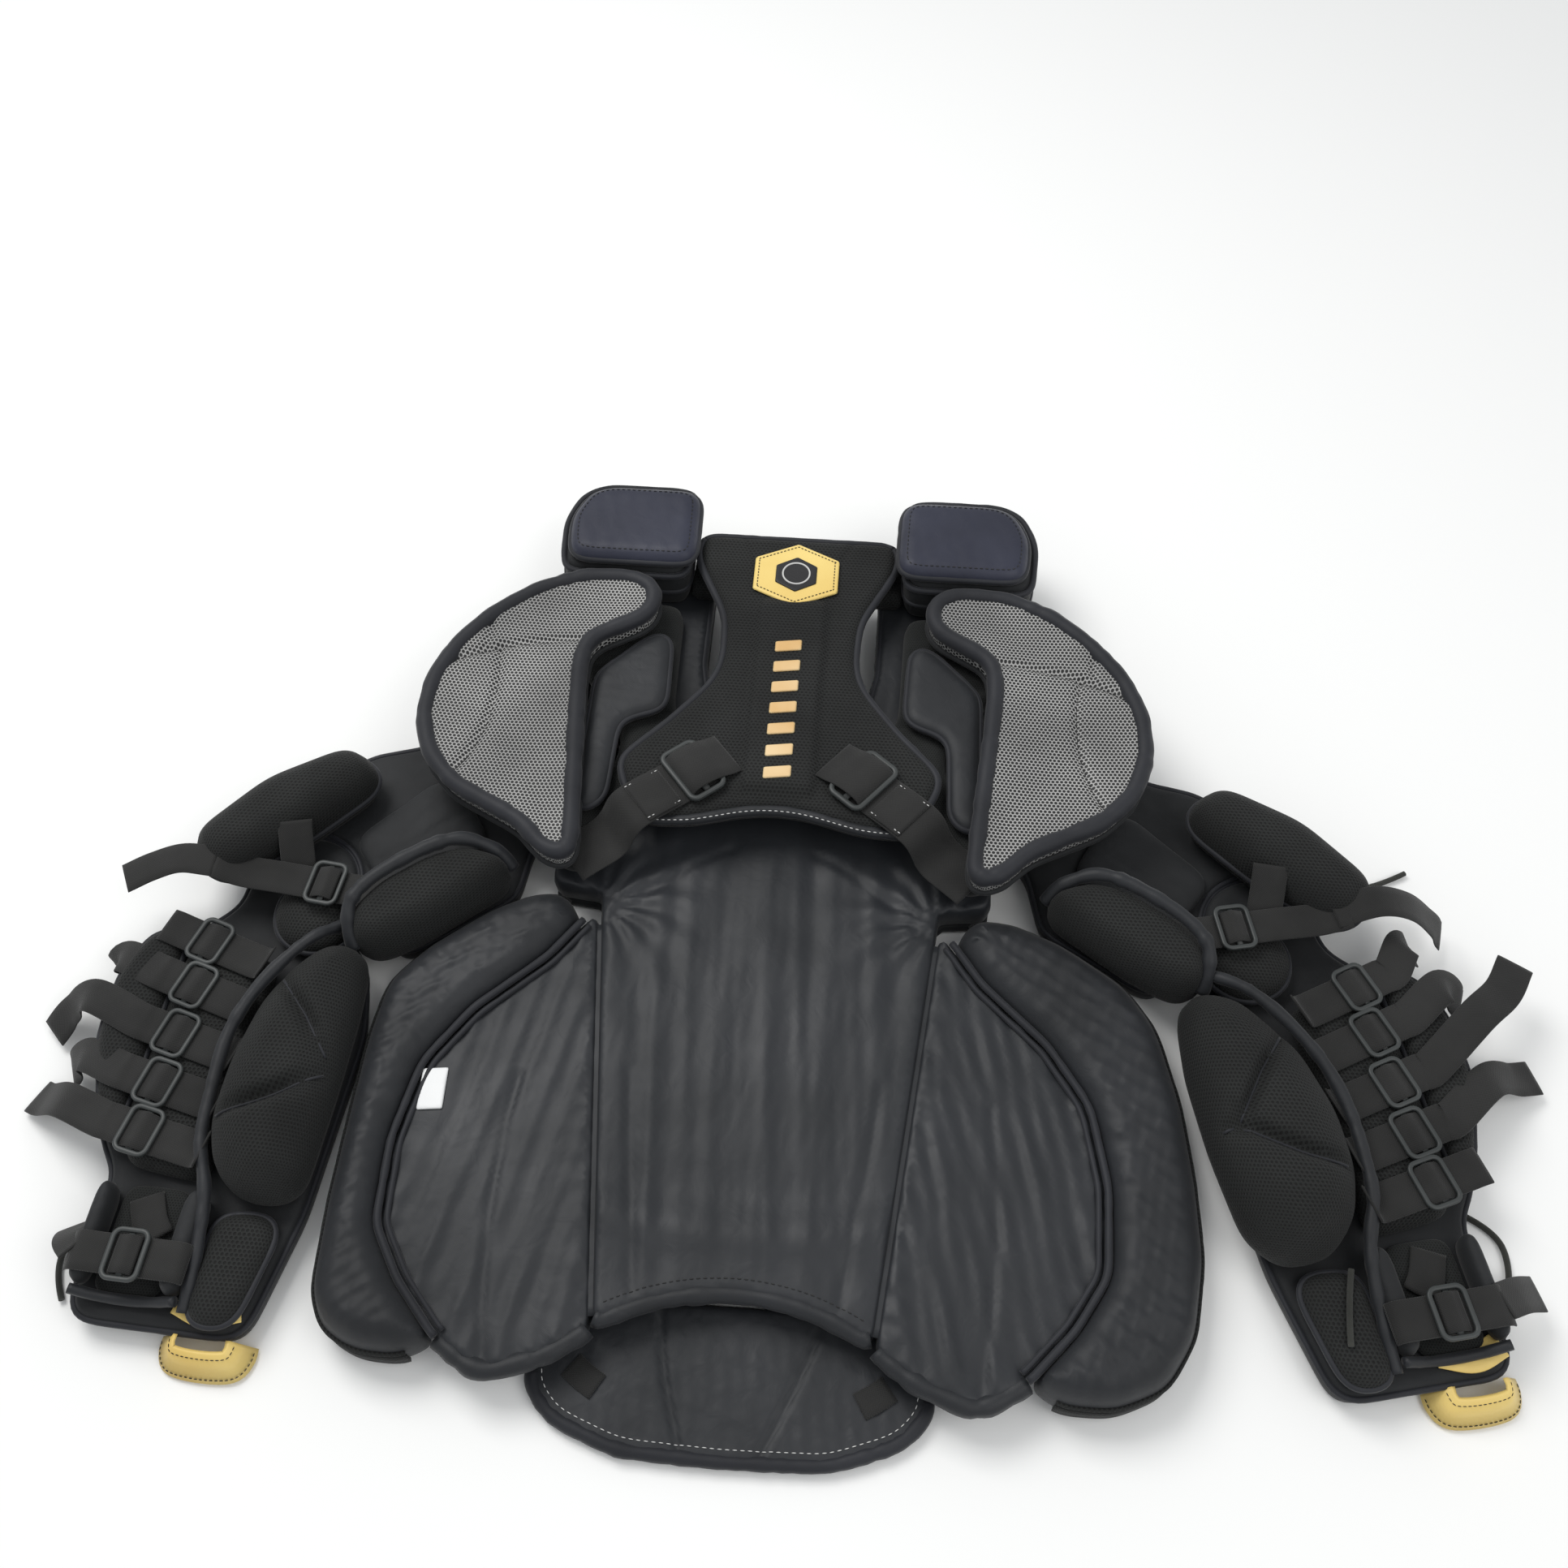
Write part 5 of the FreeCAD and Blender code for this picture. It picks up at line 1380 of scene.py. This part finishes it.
def laces() -> None:
    """The free laces beside the arms."""
    for name, side, lower, height, route, nodes in (("left_cuff_lace", "left", True, 2.6,
            [(246, 62.7), (260, 80), (286, 84), (304, 72)], ["left_lace"]),
            ("right_elbow_lace", "right", True, 2.6, [(214.5, 70.6), (228, 88), (250, 90), (266, 82)],
            ["right_lace"]), ("right_forearm_lace", "right", True, 38.1, [(246, -26), (268, -36), (290, -42)],
            ["right_guard_lace"]), ("right_sleeve_lace", "right", False, 2.6,
            [(166.8, 50), (203, 62), (240, 80), (258, 116)], ["right_arm_lace"])):
        plan = ArmFrame(side, lower).plan(route)
        body = side + ("_forearm" if lower else "_upper_arm")
        lace(name, [(x * MM, y * MM, height * MM) for x, y in plan], body, nodes)


WORLD_COLOUR, WORLD_STRENGTH = (0.97, 0.985, 1.0, 1), 0.60
LAMP_COLOUR = (1.0, 0.99, 0.97)
LAMPS = (("window", (-0.9, 0.9, 1.9), (-28, -26, 0), 1.1, 26.0), ("fill", (1.1, -0.5, 1.7), (18, 32, 0), 1.2, 9.0))
FLOOR_HALF, FLOOR_Z, FLOOR_COLOUR, FLOOR_ROUGHNESS = 6, -0.0006, (0.93, 0.935, 0.93, 1), 0.9
LENS, SENSOR = 36.09, 36.0
EYE_PLACE, EYE_TILT, EYE_TURN = (0.0493, -0.3628, 1.0136), 33.0, 4.2


def stage() -> None:
    """Pale floor and even studio light."""
    scene = bpy.context.scene
    scene.view_settings.view_transform = "Standard"
    world = bpy.data.worlds.new("studio")
    scene.world = world
    world.use_nodes = True
    world.node_tree.nodes["Background"].inputs["Color"].default_value = WORLD_COLOUR
    world.node_tree.nodes["Background"].inputs["Strength"].default_value = WORLD_STRENGTH
    for name, place, turn, size, power in LAMPS:
        lamp = bpy.data.lights.new(name, "AREA")
        lamp.energy, lamp.size, lamp.color = power, size, LAMP_COLOUR
        light = bpy.data.objects.new(name, lamp)
        light.location = place
        light.rotation_euler = Euler([math.radians(a) for a in turn])
        scene.collection.objects.link(light)
    mesh = bpy.data.meshes.new("floor")
    corners = [(x * FLOOR_HALF, y * FLOOR_HALF, FLOOR_Z) for x, y in ((-1, -1), (1, -1), (1, 1), (-1, 1))]
    mesh.from_pydata(corners, [], [(0, 1, 2, 3)])
    floor = bpy.data.objects.new("floor", mesh)
    paper = bpy.data.materials.new("paper")
    paper.use_nodes = True
    shader = paper.node_tree.nodes["Principled BSDF"]
    shader.inputs["Base Color"].default_value = FLOOR_COLOUR
    shader.inputs["Roughness"].default_value = FLOOR_ROUGHNESS
    mesh.materials.append(paper)
    scene.collection.objects.link(floor)


def camera() -> None:
    """Camera above the belly end, looking down at 57 degrees."""
    data = bpy.data.cameras.new("camera")
    data.lens, data.sensor_width = LENS, SENSOR
    eye = bpy.data.objects.new("camera", data)
    eye.location = EYE_PLACE
    eye.rotation_euler = Euler((math.radians(EYE_TILT), 0.0, math.radians(EYE_TURN)))
    bpy.context.scene.collection.objects.link(eye)
    bpy.context.scene.camera = eye


def main() -> None:
    """Build the camera, the laces and every sub-assembly in order."""
    logging.basicConfig(level=logging.INFO)
    camera()
    laces()
    Torso().build()
    for side, s in (("left", -1), ("right", 1)):
        Wing(side, s).build()
        ShoulderCap(side, s).build()
        UpperArm(side).build()
        Forearm(side).build()
    Flap().build()
    stage()
    bpy.context.view_layer.update()


if __name__ == "__main__":
    main()
